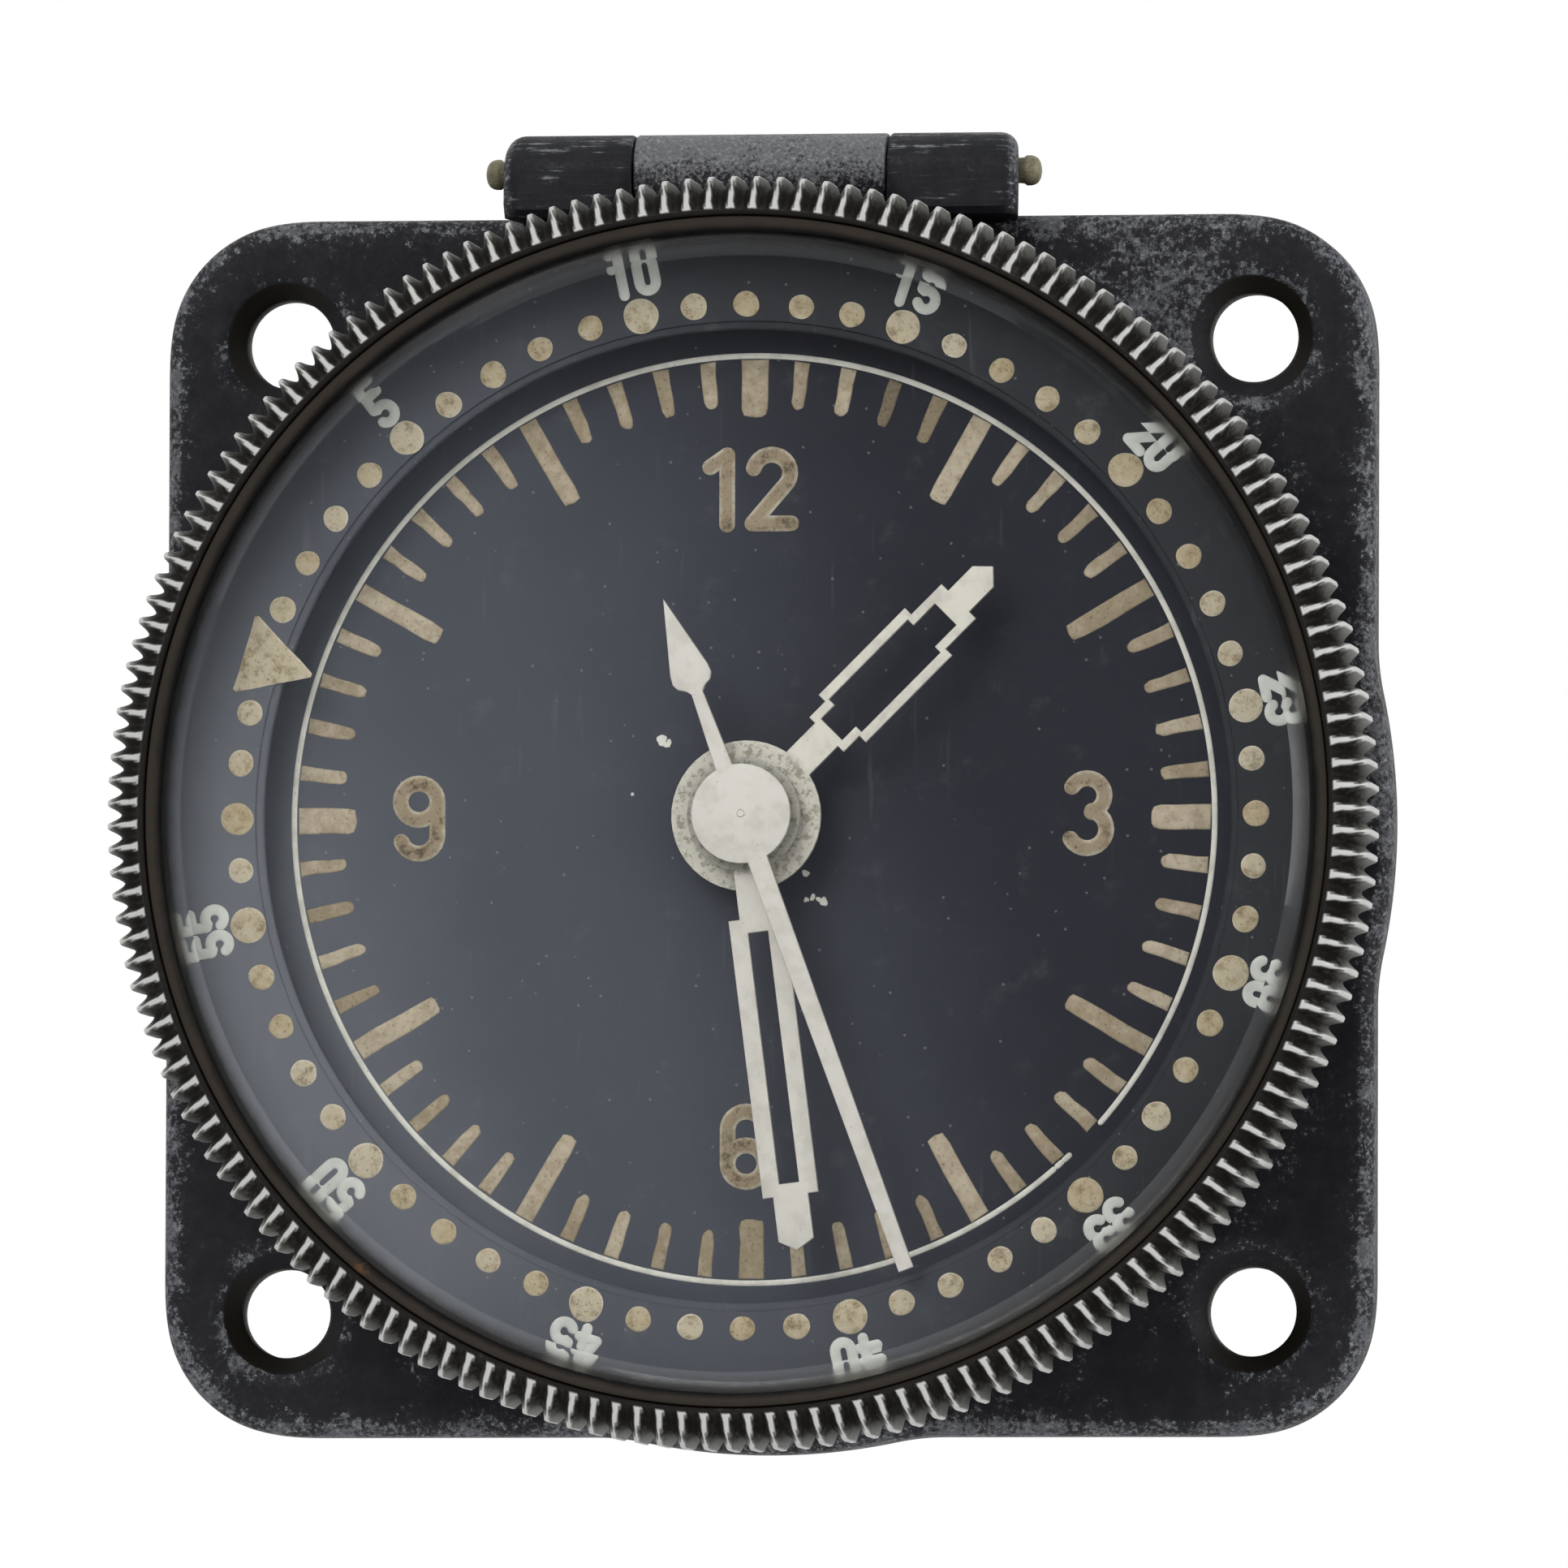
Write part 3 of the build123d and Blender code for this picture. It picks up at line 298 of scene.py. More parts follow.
class NodeWriter(TreeWriter):
    """Writes the shader nodes of one material around a Principled shader."""

    def __init__(self, name: str) -> None:
        """Start an empty material.

        Args:
            name: The material's name.
        """
        self.material = bpy.data.materials.new(name)
        self.material.use_nodes = True
        super().__init__(self.material.node_tree)
        self.output = self.add("ShaderNodeOutputMaterial")
        self.shader = self.add("ShaderNodeBsdfPrincipled")
        self.join(self.shader.outputs[0], self.output.inputs[0])
        place = self.add("ShaderNodeVectorMath", operation="SCALE")
        self.join(self.add("ShaderNodeTexCoord").outputs["Object"], place.inputs[0])
        place.inputs["Scale"].default_value = 1 / MM
        self.place = place.outputs[0]

    def set(self, **inputs: object) -> None:
        """Feed the Principled shader's inputs; underscores in a name stand for spaces."""
        for key, value in inputs.items():
            self.feed(self.shader.inputs[key.replace("_", " ")], value)

    def axis(self, name: str) -> bpy.types.NodeSocket:
        """Give one coordinate of the frame in millimetres.

        Args:
            name: X, Y or Z.

        Returns:
            The coordinate.
        """
        node = self.add("ShaderNodeSeparateXYZ")
        self.join(self.place, node.inputs[0])
        return node.outputs[name]

    def mapped(self, shift: float, stretch: Point = (1.0, 1.0, 1.0)) -> bpy.types.NodeSocket:
        """Give the place at which a pattern is read.

        Args:
            shift: Moves the pattern, so that two pieces differ.
            stretch: Scale along each axis, below 1 for streaks along it.

        Returns:
            The moved and stretched place.
        """
        mapping = self.add("ShaderNodeMapping")
        self.join(self.place, mapping.inputs["Vector"])
        mapping.inputs["Scale"].default_value = stretch
        mapping.inputs["Location"].default_value = (shift, shift, shift)
        return mapping.outputs[0]

    def noise(
        self,
        scale: float,
        detail: float = 3.0,
        roughness: float = 0.5,
        stretch: Point = (1.0, 1.0, 1.0),
        shift: float = 0.0,
    ) -> bpy.types.NodeSocket:
        """Make cloud noise.

        Args:
            scale: Features per millimetre.
            detail: Octaves of finer detail.
            roughness: Strength of the finer octaves.
            stretch: Scale along each axis, below 1 for streaks along it.
            shift: Moves the pattern, so that two pieces differ.

        Returns:
            The noise's strength, about 0.5 on average.
        """
        node = self.add("ShaderNodeTexNoise")
        self.join(self.mapped(shift, stretch), node.inputs["Vector"])
        node.inputs["Scale"].default_value = scale
        node.inputs["Detail"].default_value = detail
        node.inputs["Roughness"].default_value = roughness
        return node.outputs[0]

    def cells(self, scale: float, shift: float = 0.0) -> bpy.types.NodeSocket:
        """Scatter points, for specks and pits.

        Args:
            scale: Points per millimetre.
            shift: Moves the pattern, so that two pieces differ.

        Returns:
            The distance to the nearest point, in spacings of the points.
        """
        node = self.add("ShaderNodeTexVoronoi")
        self.join(self.mapped(shift), node.inputs["Vector"])
        node.inputs["Scale"].default_value = scale
        return node.outputs["Distance"]

    def roughen(self, grain: Signal, low: float, high: float) -> None:
        """Let the roughness follow a noise, from a low to a high value."""
        self.set(Roughness=self.between(grain, NOISE_LOW, NOISE_HIGH, low, high))

    def value(self, name: str) -> bpy.types.NodeSocket:
        """Read a value that the mesh stores at its vertices."""
        return self.add("ShaderNodeAttribute", attribute_name=name).outputs["Fac"]

    def blend(self, share: Signal, first: object, second: object) -> bpy.types.NodeSocket:
        """Mix two colours.

        Args:
            share: 0 for the first colour and up to 1 for the second.
            first: The first colour or signal.
            second: The second colour or signal.

        Returns:
            The mixed colour.
        """
        node = self.add("ShaderNodeMix", data_type="RGBA")
        for index, value in ((0, share), (6, first), (7, second)):
            self.feed(node.inputs[index], value)
        return node.outputs[2]

    def relief(self, height: Signal, depth: float, strength: float = 1.0) -> None:
        """Bump the surface.

        Args:
            height: The height signal.
            depth: The bumps' depth in millimetres.
            strength: How much of it shows.
        """
        node = self.add("ShaderNodeBump")
        node.inputs["Strength"].default_value = strength
        node.inputs["Distance"].default_value = depth * MM
        self.feed(node.inputs["Height"], height)
        self.join(node.outputs[0], self.shader.inputs["Normal"])


@dataclass(frozen=True)
class Finish:
    """A finish with a name. Each kind writes its own nodes once and is then shared."""

    name: str

    def write(self, nodes: NodeWriter) -> None:
        """Write the finish's nodes."""
        raise NotImplementedError

    def material(self) -> bpy.types.Material:
        """Give the finish's material, written on first use.

        Returns:
            The shared material.
        """
        found = bpy.data.materials.get(self.name)
        if found:
            return found
        nodes = NodeWriter(self.name)
        self.write(nodes)
        return nodes.material


@dataclass(frozen=True)
class WornLacquer(Finish):
    """Blue-black lacquer on a light alloy, rubbed to grey specks where it was handled."""

    lacquer: Colour = paint(23, 24, 29)
    lacquer_warm: Colour = paint(31, 31, 34)
    dust: Colour = paint(62, 64, 70)
    alloy: Colour = paint(158, 159, 160)
    alloy_dark: Colour = paint(88, 89, 93)
    shade: Colour = paint(27, 24, 18)
    rub: float = 0.8
    weight: float = 0.34
    least: float = 0.7
    fringe: float = 0.16
    haze_band: Flat = (-0.2, 0.04)
    haze_share: float = 0.12
    streak: Point = (1.0, 1.0, 1.0)
    grain: float = 4.2
    shift: float = 0.0

    def write(self, nodes: NodeWriter) -> None:
        """Write lacquer, dust and speckled wear; a tone near 0 gets painted shade, as in a recess.

        Args:
            nodes: The writer of the material's nodes.
        """
        grain = nodes.noise(self.grain, 5.0, 0.75, self.streak, self.shift)
        patch = nodes.noise(0.6, 4.0, 0.7, shift=self.shift + 3.0)
        tint = nodes.noise(0.9, 3.0, 0.6, shift=self.shift + 9.0)
        mark = nodes.value(MARK)
        level = nodes.total(grain, nodes.times(mark, self.weight), nodes.times(patch, self.rub))
        limit = self.least + self.rub / 2
        worn = nodes.between(level, limit, limit + self.fringe)
        haze = nodes.between(level, limit + self.haze_band[0], limit + self.haze_band[1])
        base = nodes.blend(nodes.between(tint, 0.35, 0.7), self.lacquer, self.lacquer_warm)
        base = nodes.blend(nodes.times(haze, self.haze_share), base, self.dust)
        bare = nodes.blend(nodes.between(grain, 0.5, 0.8), self.alloy_dark, self.alloy)
        base = nodes.blend(worn, base, bare)
        # Painted shade: points with a low tone, such as the bolt holes' walls, turn towards the shade
        # colour.
        recess = nodes.between(nodes.value(TONE), 0.1, 0.45, 0.9, 0.0)
        nodes.set(Base_Color=nodes.blend(recess, base, self.shade))
        nodes.set(Metallic=nodes.times(worn, 0.25))
        nodes.roughen(nodes.noise(7.0, 2.0), 0.42, 0.62)
        nodes.set(Specular_IOR_Level=0.18)
        nodes.relief(nodes.total(grain, nodes.times(worn, -0.6)), 0.02, 0.35)


@dataclass(frozen=True)
class KnurlMetal(Finish):
    """Bare light alloy on the crests of the knurling, dark lacquer left in its gaps."""

    spine: Colour = paint(196, 196, 194)
    flank: Colour = paint(104, 103, 99)
    gap: Colour = paint(29, 27, 25)

    def write(self, nodes: NodeWriter) -> None:
        """Write bright spines, dull flanks and dark gaps, from a mark of 1 down to 0.

        Args:
            nodes: The writer of the material's nodes.
        """
        grain = nodes.noise(3.2, 4.0, 0.65)
        patch = nodes.noise(0.16, 3.0, 0.6)
        level = nodes.total(nodes.value(MARK), nodes.times(grain, 0.62), nodes.times(patch, 0.3), -0.46)
        base = nodes.blend(nodes.between(level, 0.04, 0.5), self.gap, self.flank)
        bright = nodes.between(level, 0.6, 0.98)
        nodes.set(Base_Color=nodes.blend(bright, base, self.spine))
        nodes.set(Metallic=nodes.times(bright, 0.35))
        nodes.roughen(grain, 0.42, 0.6)
        nodes.set(Specular_IOR_Level=nodes.between(level, 0.1, 0.7, 0.08, 0.35))
        nodes.relief(grain, 0.02, 0.35)


@dataclass(frozen=True)
class OldSealRing(Finish):
    """The brown-black ring that holds the glass, with grime and a spot of rust.

    The spot is a place in the frame's axes, in millimetres.
    """

    dark: Colour = paint(15, 13, 12)
    brown: Colour = paint(47, 41, 35)
    rust: Colour = paint(86, 60, 36)
    spot: Point = (-18.4, -14.2, -22.4)

    def write(self, nodes: NodeWriter) -> None:
        """Write grime, a brown edge and the rust spot.

        Args:
            nodes: The writer of the material's nodes.
        """
        clouds = nodes.noise(0.5, 4.0, 0.6)
        grain = nodes.noise(5.0, 3.0, 0.6)
        mark = nodes.value(MARK)
        level = nodes.total(nodes.times(clouds, 0.5), nodes.times(mark, 0.7), nodes.times(grain, 0.3))
        base = nodes.blend(nodes.between(level, 0.5, 1.1), self.dark, self.brown)
        away = nodes.add("ShaderNodeVectorMath", operation="DISTANCE")
        nodes.join(nodes.place, away.inputs[0])
        away.inputs[1].default_value = self.spot
        reach = nodes.total(away.outputs["Value"], nodes.times(grain, 1.2))
        nodes.set(Base_Color=nodes.blend(nodes.between(reach, 0.6, 1.1, 1.0, 0.0), base, self.rust))
        nodes.roughen(grain, 0.42, 0.65)
        nodes.set(Specular_IOR_Level=0.15)
        nodes.relief(grain, 0.02, 0.5)


@dataclass(frozen=True)
class FadedBlack(Finish):
    """Satin blue-black paint with dust and rubs, and a painted reflection that lightens it to slate to
    the lower left.
    """

    dark: Colour = paint(35, 36, 46)
    slate: Colour = paint(76, 79, 88)
    far: Colour = paint(114, 116, 123)
    dust: Colour = paint(150, 150, 150)
    fade_low: float = 14.0
    fade_high: float = -13.0
    far_high: float = -32.0
    slope: float = 0.35
    drift: float = 8.0

    def write(self, nodes: NodeWriter) -> None:
        """Write the painted reflection, dust and fine rubs.

        Args:
            nodes: The writer of the material's nodes.
        """
        clouds = nodes.noise(0.09, 3.0, 0.5)
        # Painted reflection: the paint turns lighter towards the left and the bottom, like a veil
        # reflected in the glass.
        sheen_place = nodes.total(
            nodes.axis("X"),
            nodes.times(nodes.axis("Z"), self.slope),
            nodes.times(clouds, self.drift),
            -self.drift / 2,
        )
        base = nodes.blend(
            nodes.between(sheen_place, self.fade_high, self.fade_low, 1.0, 0.0), self.dark, self.slate
        )
        base = nodes.blend(
            nodes.between(sheen_place, self.far_high, self.fade_high, 1.0, 0.0), base, self.far
        )
        rubs = nodes.noise(1.6, 2.0, 0.6, (1.0, 1.0, 0.08), 5.0)
        base = nodes.blend(nodes.between(rubs, 0.64, 0.78, 0.0, 0.1), base, self.dust)
        smears = nodes.noise(0.5, 5.0, 0.7, shift=11.0)
        base = nodes.blend(nodes.between(smears, 0.55, 0.8, 0.0, 0.1), base, self.dust)
        specks = nodes.between(nodes.cells(1.0), 0.04, 0.09, 0.45, 0.0)
        nodes.set(Base_Color=nodes.blend(specks, base, self.dust))
        nodes.roughen(nodes.noise(3.0, 3.0), 0.5, 0.66)
        nodes.set(Specular_IOR_Level=0.14)
        nodes.relief(nodes.noise(9.0, 3.0, 0.6), 0.01, 0.15)


@dataclass(frozen=True)
class AgedLume(Finish):
    """Old luminous paint: beige, pitted with dark specks, dirtier in its middle or rim."""

    light: Colour = paint(194, 179, 158)
    tan: Colour = paint(152, 136, 112)
    soot: Colour = paint(66, 58, 48)
    rim_light: float = 0.0
    core_soot: float = 0.85

    def write(self, nodes: NodeWriter) -> None:
        """Write the mottled paint, its specks and its dirt.

        Args:
            nodes: The writer of the material's nodes.
        """
        clouds = nodes.noise(1.5, 4.0, 0.65)
        grain = nodes.noise(8.0, 3.0, 0.6)
        mark = nodes.value(MARK)
        tone = nodes.value(TONE)
        level = nodes.total(nodes.times(clouds, 0.9), nodes.times(tone, 0.5))
        base = nodes.blend(nodes.between(level, 0.4, 0.95), self.light, self.tan)
        if self.rim_light:
            core = nodes.between(mark, 0.25, 0.85, 1.0, 0.0)
            dirt = nodes.between(nodes.total(clouds, nodes.times(grain, 0.35)), 0.68, 0.86)
            base = nodes.blend(nodes.times(core, self.rim_light), base, self.tan)
            base = nodes.blend(nodes.times(nodes.times(core, dirt), self.core_soot), base, self.soot)
        soil = nodes.between(nodes.total(tone, nodes.times(grain, 0.3)), 1.25, 1.6, 0.0, 0.75)
        base = nodes.blend(soil, base, self.soot)
        pits = nodes.between(nodes.cells(2.4, 4.0), 0.06, 0.15, 0.6, 0.0)
        crumbs = nodes.between(nodes.noise(5.0, 3.0, 0.7, shift=7.0), 0.56, 0.7, 0.0, 0.4)
        edge = nodes.between(mark, 0.7, 1.0, 0.0, 0.0 if self.rim_light else 0.4)
        base = nodes.blend(nodes.math("MAXIMUM", pits, nodes.total(crumbs, edge)), base, self.soot)
        nodes.set(Base_Color=base, Specular_IOR_Level=0.2)
        nodes.roughen(grain, 0.7, 0.9)
        nodes.relief(nodes.total(grain, clouds), 0.04, 0.8)


@dataclass(frozen=True)
class OldEnamel(Finish):
    """Off-white enamel with faint stains, pinholes, greenish grime where marked, and painted shade on
    its hub.
    """

    white: Colour = paint(212, 205, 198)
    stained: Colour = paint(198, 191, 183)
    grime: Colour = paint(122, 121, 106)
    speck: Colour = paint(118, 102, 86)
    dirt: float = 1.0
    hub: float = 0.0
    hub_dirt: float = 0.6
    hub_veil: float = 0.15

    def write(self, nodes: NodeWriter) -> None:
        """Write the enamel, its stains, pinholes and grime, and the painted shade on the hub.

        Args:
            nodes: The writer of the material's nodes.
        """
        clouds = nodes.noise(1.1, 4.0, 0.6)
        grain = nodes.noise(6.0, 4.0, 0.65)
        mark = nodes.value(MARK)
        base = nodes.blend(nodes.between(clouds, 0.4, 0.7), self.white, self.stained)
        level = nodes.total(nodes.times(mark, 0.7), nodes.times(grain, 0.7))
        base = nodes.blend(nodes.between(level, 0.6, 1.15, 0.0, self.dirt), base, self.grime)
        # Over the hub: blots of grime, and an even veil that is painted shade where the hand above
        # shades it.
        if self.hub:
            squares = [nodes.math("POWER", nodes.axis(name), 2.0) for name in ("X", "Z")]
            away = nodes.total(nodes.math("SQRT", nodes.total(*squares)), nodes.times(grain, 0.8))
            worn = nodes.between(away, self.hub + 0.1, self.hub + 0.6, 1.0, 0.0)
            crust = nodes.total(nodes.noise(2.4, 4.0, 0.7, shift=3.0), nodes.times(grain, 0.35))
            blot = nodes.between(crust, 0.66, 0.78)
            share = nodes.times(worn, nodes.total(nodes.times(blot, self.hub_dirt), self.hub_veil))
            base = nodes.blend(share, base, self.grime)
        specks = nodes.between(nodes.cells(1.7, 2.0), 0.04, 0.09, 0.5, 0.0)
        nodes.set(Base_Color=nodes.blend(specks, base, self.speck), Specular_IOR_Level=0.3)
        nodes.roughen(grain, 0.45, 0.65)
        nodes.relief(grain, 0.02, 0.6)


@dataclass(frozen=True)
class WorkedMetal(Finish):
    """Turned, brushed or tarnished metal for pins, screws, plates, wheels and springs."""

    bright: Colour = paint(200, 170, 110)
    dull: Colour = paint(150, 126, 80)
    tarnish: Colour = paint(96, 88, 62)
    aged: float = 0.35
    lines: Point = (0.05, 1.0, 1.0)
    metallic: float = 0.9
    rough_low: float = 0.28
    rough_high: float = 0.5

    def write(self, nodes: NodeWriter) -> None:
        """Write tool lines, tarnish and worn edges.

        Args:
            nodes: The writer of the material's nodes.
        """
        lines = nodes.noise(9.0, 3.0, 0.6, self.lines)
        clouds = nodes.noise(0.7, 4.0, 0.6)
        pits = nodes.between(nodes.cells(2.2, 1.0), 0.04, 0.16, 0.5, 0.0)
        base = nodes.blend(nodes.between(lines, 0.35, 0.7), self.dull, self.bright)
        aged = nodes.between(clouds, 0.5 - self.aged * 0.3, 0.8, 0.0, 1.0)
        base = nodes.blend(nodes.total(nodes.times(aged, 0.7), pits), base, self.tarnish)
        nodes.set(Base_Color=base, Metallic=self.metallic)
        nodes.roughen(lines, self.rough_low, self.rough_high)
        nodes.relief(nodes.total(lines, pits), 0.012, 0.7)


@dataclass(frozen=True)
class ClearGlass(Finish):
    """Clear crown glass that lets the lamps through, with faint dust on its face and painted shade
    towards its rim.
    """

    tint: Colour = (0.97, 0.985, 0.98, 1.0)
    # The dark tint of the painted shade at the rim.
    grime: Colour = (0.05, 0.045, 0.038, 1.0)

    def write(self, nodes: NodeWriter) -> None:
        """Write the glass, the painted shade that darkens it towards its rim, and its clear shadow.

        Args:
            nodes: The writer of the material's nodes.
        """
        blots = nodes.noise(1.2, 3.0, 0.6)
        # Painted shade: the glass darkens towards its rim under the bezel, with a little dust.
        rim_shade_and_dust = nodes.total(nodes.value(MARK), nodes.times(blots, 0.12), -0.06)
        tint = nodes.blend(nodes.between(rim_shade_and_dust, 0.0, 0.42), self.tint, self.grime)
        nodes.set(Base_Color=tint, Transmission_Weight=1.0, IOR=1.5)
        nodes.set(Specular_IOR_Level=nodes.between(rim_shade_and_dust, 0.0, 0.6, 0.5, 0.1))
        smears = nodes.between(nodes.noise(0.25, 4.0, 0.6), 0.45, 0.8, 0.0, 0.03)
        nodes.set(Roughness=nodes.total(smears, nodes.between(rim_shade_and_dust, -0.05, 0.7, 0.0, 0.42)))
        clear = nodes.add("ShaderNodeBsdfTransparent")
        clear.inputs[0].default_value = self.tint
        path = nodes.add("ShaderNodeLightPath")
        mix = nodes.add("ShaderNodeMixShader")
        nodes.join(path.outputs["Is Shadow Ray"], mix.inputs[0])
        nodes.join(nodes.shader.outputs[0], mix.inputs[1])
        nodes.join(clear.outputs[0], mix.inputs[2])
        nodes.join(mix.outputs[0], nodes.output.inputs[0])


LACQUER = WornLacquer("casting_lacquer")
LACQUER_LEVER = WornLacquer(
    "lever_lacquer",
    rub=0.5,
    weight=0.5,
    shift=17.0,
    grain=5.0,
    dust=paint(88, 89, 92),
    alloy=paint(172, 172, 172),
    alloy_dark=paint(104, 105, 108),
)
LACQUER_EAR = WornLacquer(
    "ear_lacquer",
    lacquer=paint(25, 26, 31),
    lacquer_warm=paint(33, 33, 36),
    weight=0.3,
    shift=5.0,
    streak=(0.06, 1.0, 1.0),
)
LACQUER_REAR = WornLacquer("cover_lacquer", weight=0.2, shift=31.0)
KNURL = KnurlMetal("knurl_metal")
SEAL_RING = OldSealRing("seal_ring")
GLASS = ClearGlass("clear_glass")
DIAL_PAINT_AND_SHEEN = FadedBlack("dial_paint_and_sheen")
SCALE_PAINT_AND_SHEEN = FadedBlack("scale_paint_and_sheen", dark=paint(44, 45, 50), slate=paint(82, 84, 92))
BAR_LUME = AgedLume("bar_lume")
DOT_LUME = AgedLume(
    "dot_lume",
    light=paint(214, 204, 188),
    tan=paint(176, 158, 126),
    rim_light=0.45,
    core_soot=0.45,
)
FIGURE_LUME = AgedLume(
    "figure_lume",
    light=paint(206, 198, 180),
    tan=paint(146, 128, 104),
    rim_light=0.8,
    core_soot=0.75,
)
HOUR_ENAMEL = OldEnamel(
    "hour_enamel", white=paint(218, 212, 200), hub=3.7, hub_dirt=0.6, grime=paint(122, 116, 96)
)
# Its hub is darkened strongly: painted shadow of the second hand's disc above it.
MINUTE_ENAMEL = OldEnamel(
    "minute_enamel", hub=2.9, hub_dirt=0.35, hub_veil=0.6, grime=paint(112, 109, 96)
)
SECOND_ENAMEL = OldEnamel("second_enamel", white=paint(214, 207, 201), stained=paint(200, 193, 184))
LINE_ENAMEL = OldEnamel(
    "line_enamel", white=paint(228, 224, 215), stained=paint(206, 202, 192), dirt=0.2
)
FIGURE_ENAMEL = OldEnamel(
    "figure_enamel", white=paint(214, 214, 208), stained=paint(198, 197, 190), dirt=0.12
)
PIN_METAL = WorkedMetal(
    "pin_metal",
    bright=paint(150, 144, 120),
    dull=paint(118, 112, 88),
    tarnish=paint(74, 68, 50),
    metallic=0.5,
    rough_low=0.42,
    rough_high=0.65,
)
SCREW_METAL = WorkedMetal(
    "screw_metal", bright=paint(176, 176, 176), dull=paint(120, 120, 122), tarnish=paint(70, 66, 62)
)
SPRING_METAL = WorkedMetal(
    "spring_metal", bright=paint(150, 156, 170), dull=paint(98, 102, 112), tarnish=paint(66, 62, 60)
)
PLATE_METAL = WorkedMetal("plate_metal", aged=0.25, lines=(1.0, 1.0, 0.04))
WHEEL_METAL = WorkedMetal("wheel_metal", bright=paint(212, 182, 116), aged=0.15)


@dataclass
class MeshDraft:
    """Vertices and faces of one piece, drawn in the face frame, with two values at each vertex."""

    points: list[Point] = field(default_factory=list)
    faces: list[tuple[int, ...]] = field(default_factory=list)
    marks: list[float] = field(default_factory=list)
    tones: list[float] = field(default_factory=list)

    def add(
        self,
        points: Sequence[Point],
        faces: Iterable[Sequence[int]],
        marks: Sequence[float] | float = 0.0,
        tone: float = 0.5,
    ) -> int:
        """Add points and the faces between them.

        Args:
            points: Face-frame points in millimetres.
            faces: Faces as positions in points.
            marks: One value for each point, or one for all of them.
            tone: The tone of all these points.

        Returns:
            The place of the first new point.
        """
        first = len(self.points)
        self.points += list(points)
        self.faces += [tuple(first + i for i in face) for face in faces]
        self.marks += list(marks) if isinstance(marks, (list, tuple)) else [marks] * len(points)
        self.tones += [tone] * len(points)
        return first

    def rows(
        self,
        rows: Sequence[Sequence[Point]],
        marks: Sequence[float] | None = None,
        tone: float = 0.5,
        closed: bool = False,
        capped: bool = False,
    ) -> int:
        """Add rows of points, each a closed loop, joined to the next row by quads.

        Args:
            rows: Loops of the same number of points.
            marks: One value for each row, or for each point of all rows.
            tone: The tone of all points.
            closed: Whether the last row joins the first.
            capped: Whether the first and last rows are filled.

        Returns:
            The place of the first new point.
        """
        count, size = len(rows), len(rows[0])
        faces: list[tuple[int, ...]] = []
        for row in range(count if closed else count - 1):
            low, high = row * size, (row + 1) % count * size
            for i in range(size):
                j = (i + 1) % size
                faces.append((low + i, low + j, high + j, high + i))
        if capped:
            faces.append(tuple(reversed(range(size))))
            faces.append(tuple(range((count - 1) * size, count * size)))
        points = [point for row in rows for point in row]
        values: Sequence[float] | float = 0.0
        if marks is not None:
            by_row = len(marks) == count
            values = [mark for mark in marks for _ in range(size)] if by_row else list(marks)
        return self.add(points, faces, values, tone)

    def turned(
        self,
        profile: Sequence[Flat],
        count: int,
        marks: Sequence[float] | None = None,
        closed: bool = True,
        place: Callable[[float, float, float], Point] | None = None,
    ) -> None:
        """Turn a profile of (radius, height) round an axis.

        Args:
            profile: The profile's points.
            count: Steps round the turn.
            marks: One value for each point of the profile.
            closed: Whether the profile is a closed ring; otherwise its ends are filled.
            place: Turns (across, across, along) into a face point; by default along is Z.
        """
        rows = []
        for radius, height in profile:
            row = [(radius * math.cos(a), radius * math.sin(a), height) for a in ring_angles(count)]
            rows.append([place(*p) for p in row] if place else row)
        self.rows(rows, marks, closed=closed, capped=not closed)

    def build(
        self,
        name: str,
        body: Body,
        slot: Slot,
        finish: Finish,
        replaces: Sequence[str] = (),
        sharp: float = 35.0,
    ) -> bpy.types.Object:
        """Make the Blender object and tie it to the frame.

        Args:
            name: The piece's name.
            body: The body that it rides on.
            slot: The record's material slot for the piece; not used.
            finish: Its finish.
            replaces: The nodes that it stands for.
            sharp: The angle in degrees above which an edge stays sharp.

        Returns:
            The new object.
        """
        mesh = bpy.data.meshes.new(name)
        mesh.from_pydata([face_point(*p) for p in self.points], [], self.faces)
        mesh.validate()
        for key, values in ((MARK, self.marks), (TONE, self.tones)):
            mesh.attributes.new(key, "FLOAT", "POINT").data.foreach_set("value", values)
        work = bmesh.new()
        work.from_mesh(mesh)
        bmesh.ops.recalc_face_normals(work, faces=work.faces)
        work.to_mesh(mesh)
        work.free()
        mesh.shade_smooth()
        mesh.set_sharp_from_angle(angle=math.radians(sharp))
        mesh.materials.append(finish.material())
        piece = add_object(name, mesh)
        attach(piece, body.value)
        if replaces:
            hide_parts(*replaces)
        log.info("%s: %d faces on %s", name, len(mesh.polygons), body.value)
        return piece


def dress(node: str, finish: Finish) -> None:
    """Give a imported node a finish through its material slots.

    Args:
        node: The node's name.
        finish: Its finish.
    """
    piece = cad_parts[node]
    piece.data.materials.clear()
    piece.data.materials.append(finish.material())
    log.info("%s: dressed as %s", node, finish.name)


def inset(loop: Sequence[Flat], amount: float) -> list[Flat]:
    """Move an anticlockwise loop inwards.

    Args:
        loop: The loop.
        amount: How far it moves, outwards if it is negative.

    Returns:
        The moved loop.
    """
    moved = []
    count = len(loop)
    for i, (x, y) in enumerate(loop):
        before, after = Vector(loop[i - 1]), Vector(loop[(i + 1) % count])
        here = Vector((x, y))
        first, second = (here - before).normalized(), (after - here).normalized()
        normal = Vector((-first.y - second.y, first.x + second.x))
        length = max(normal.length, CORNER_FLOOR)
        moved.append((x + normal.x * 2 * amount / length**2, y + normal.y * 2 * amount / length**2))
    return moved


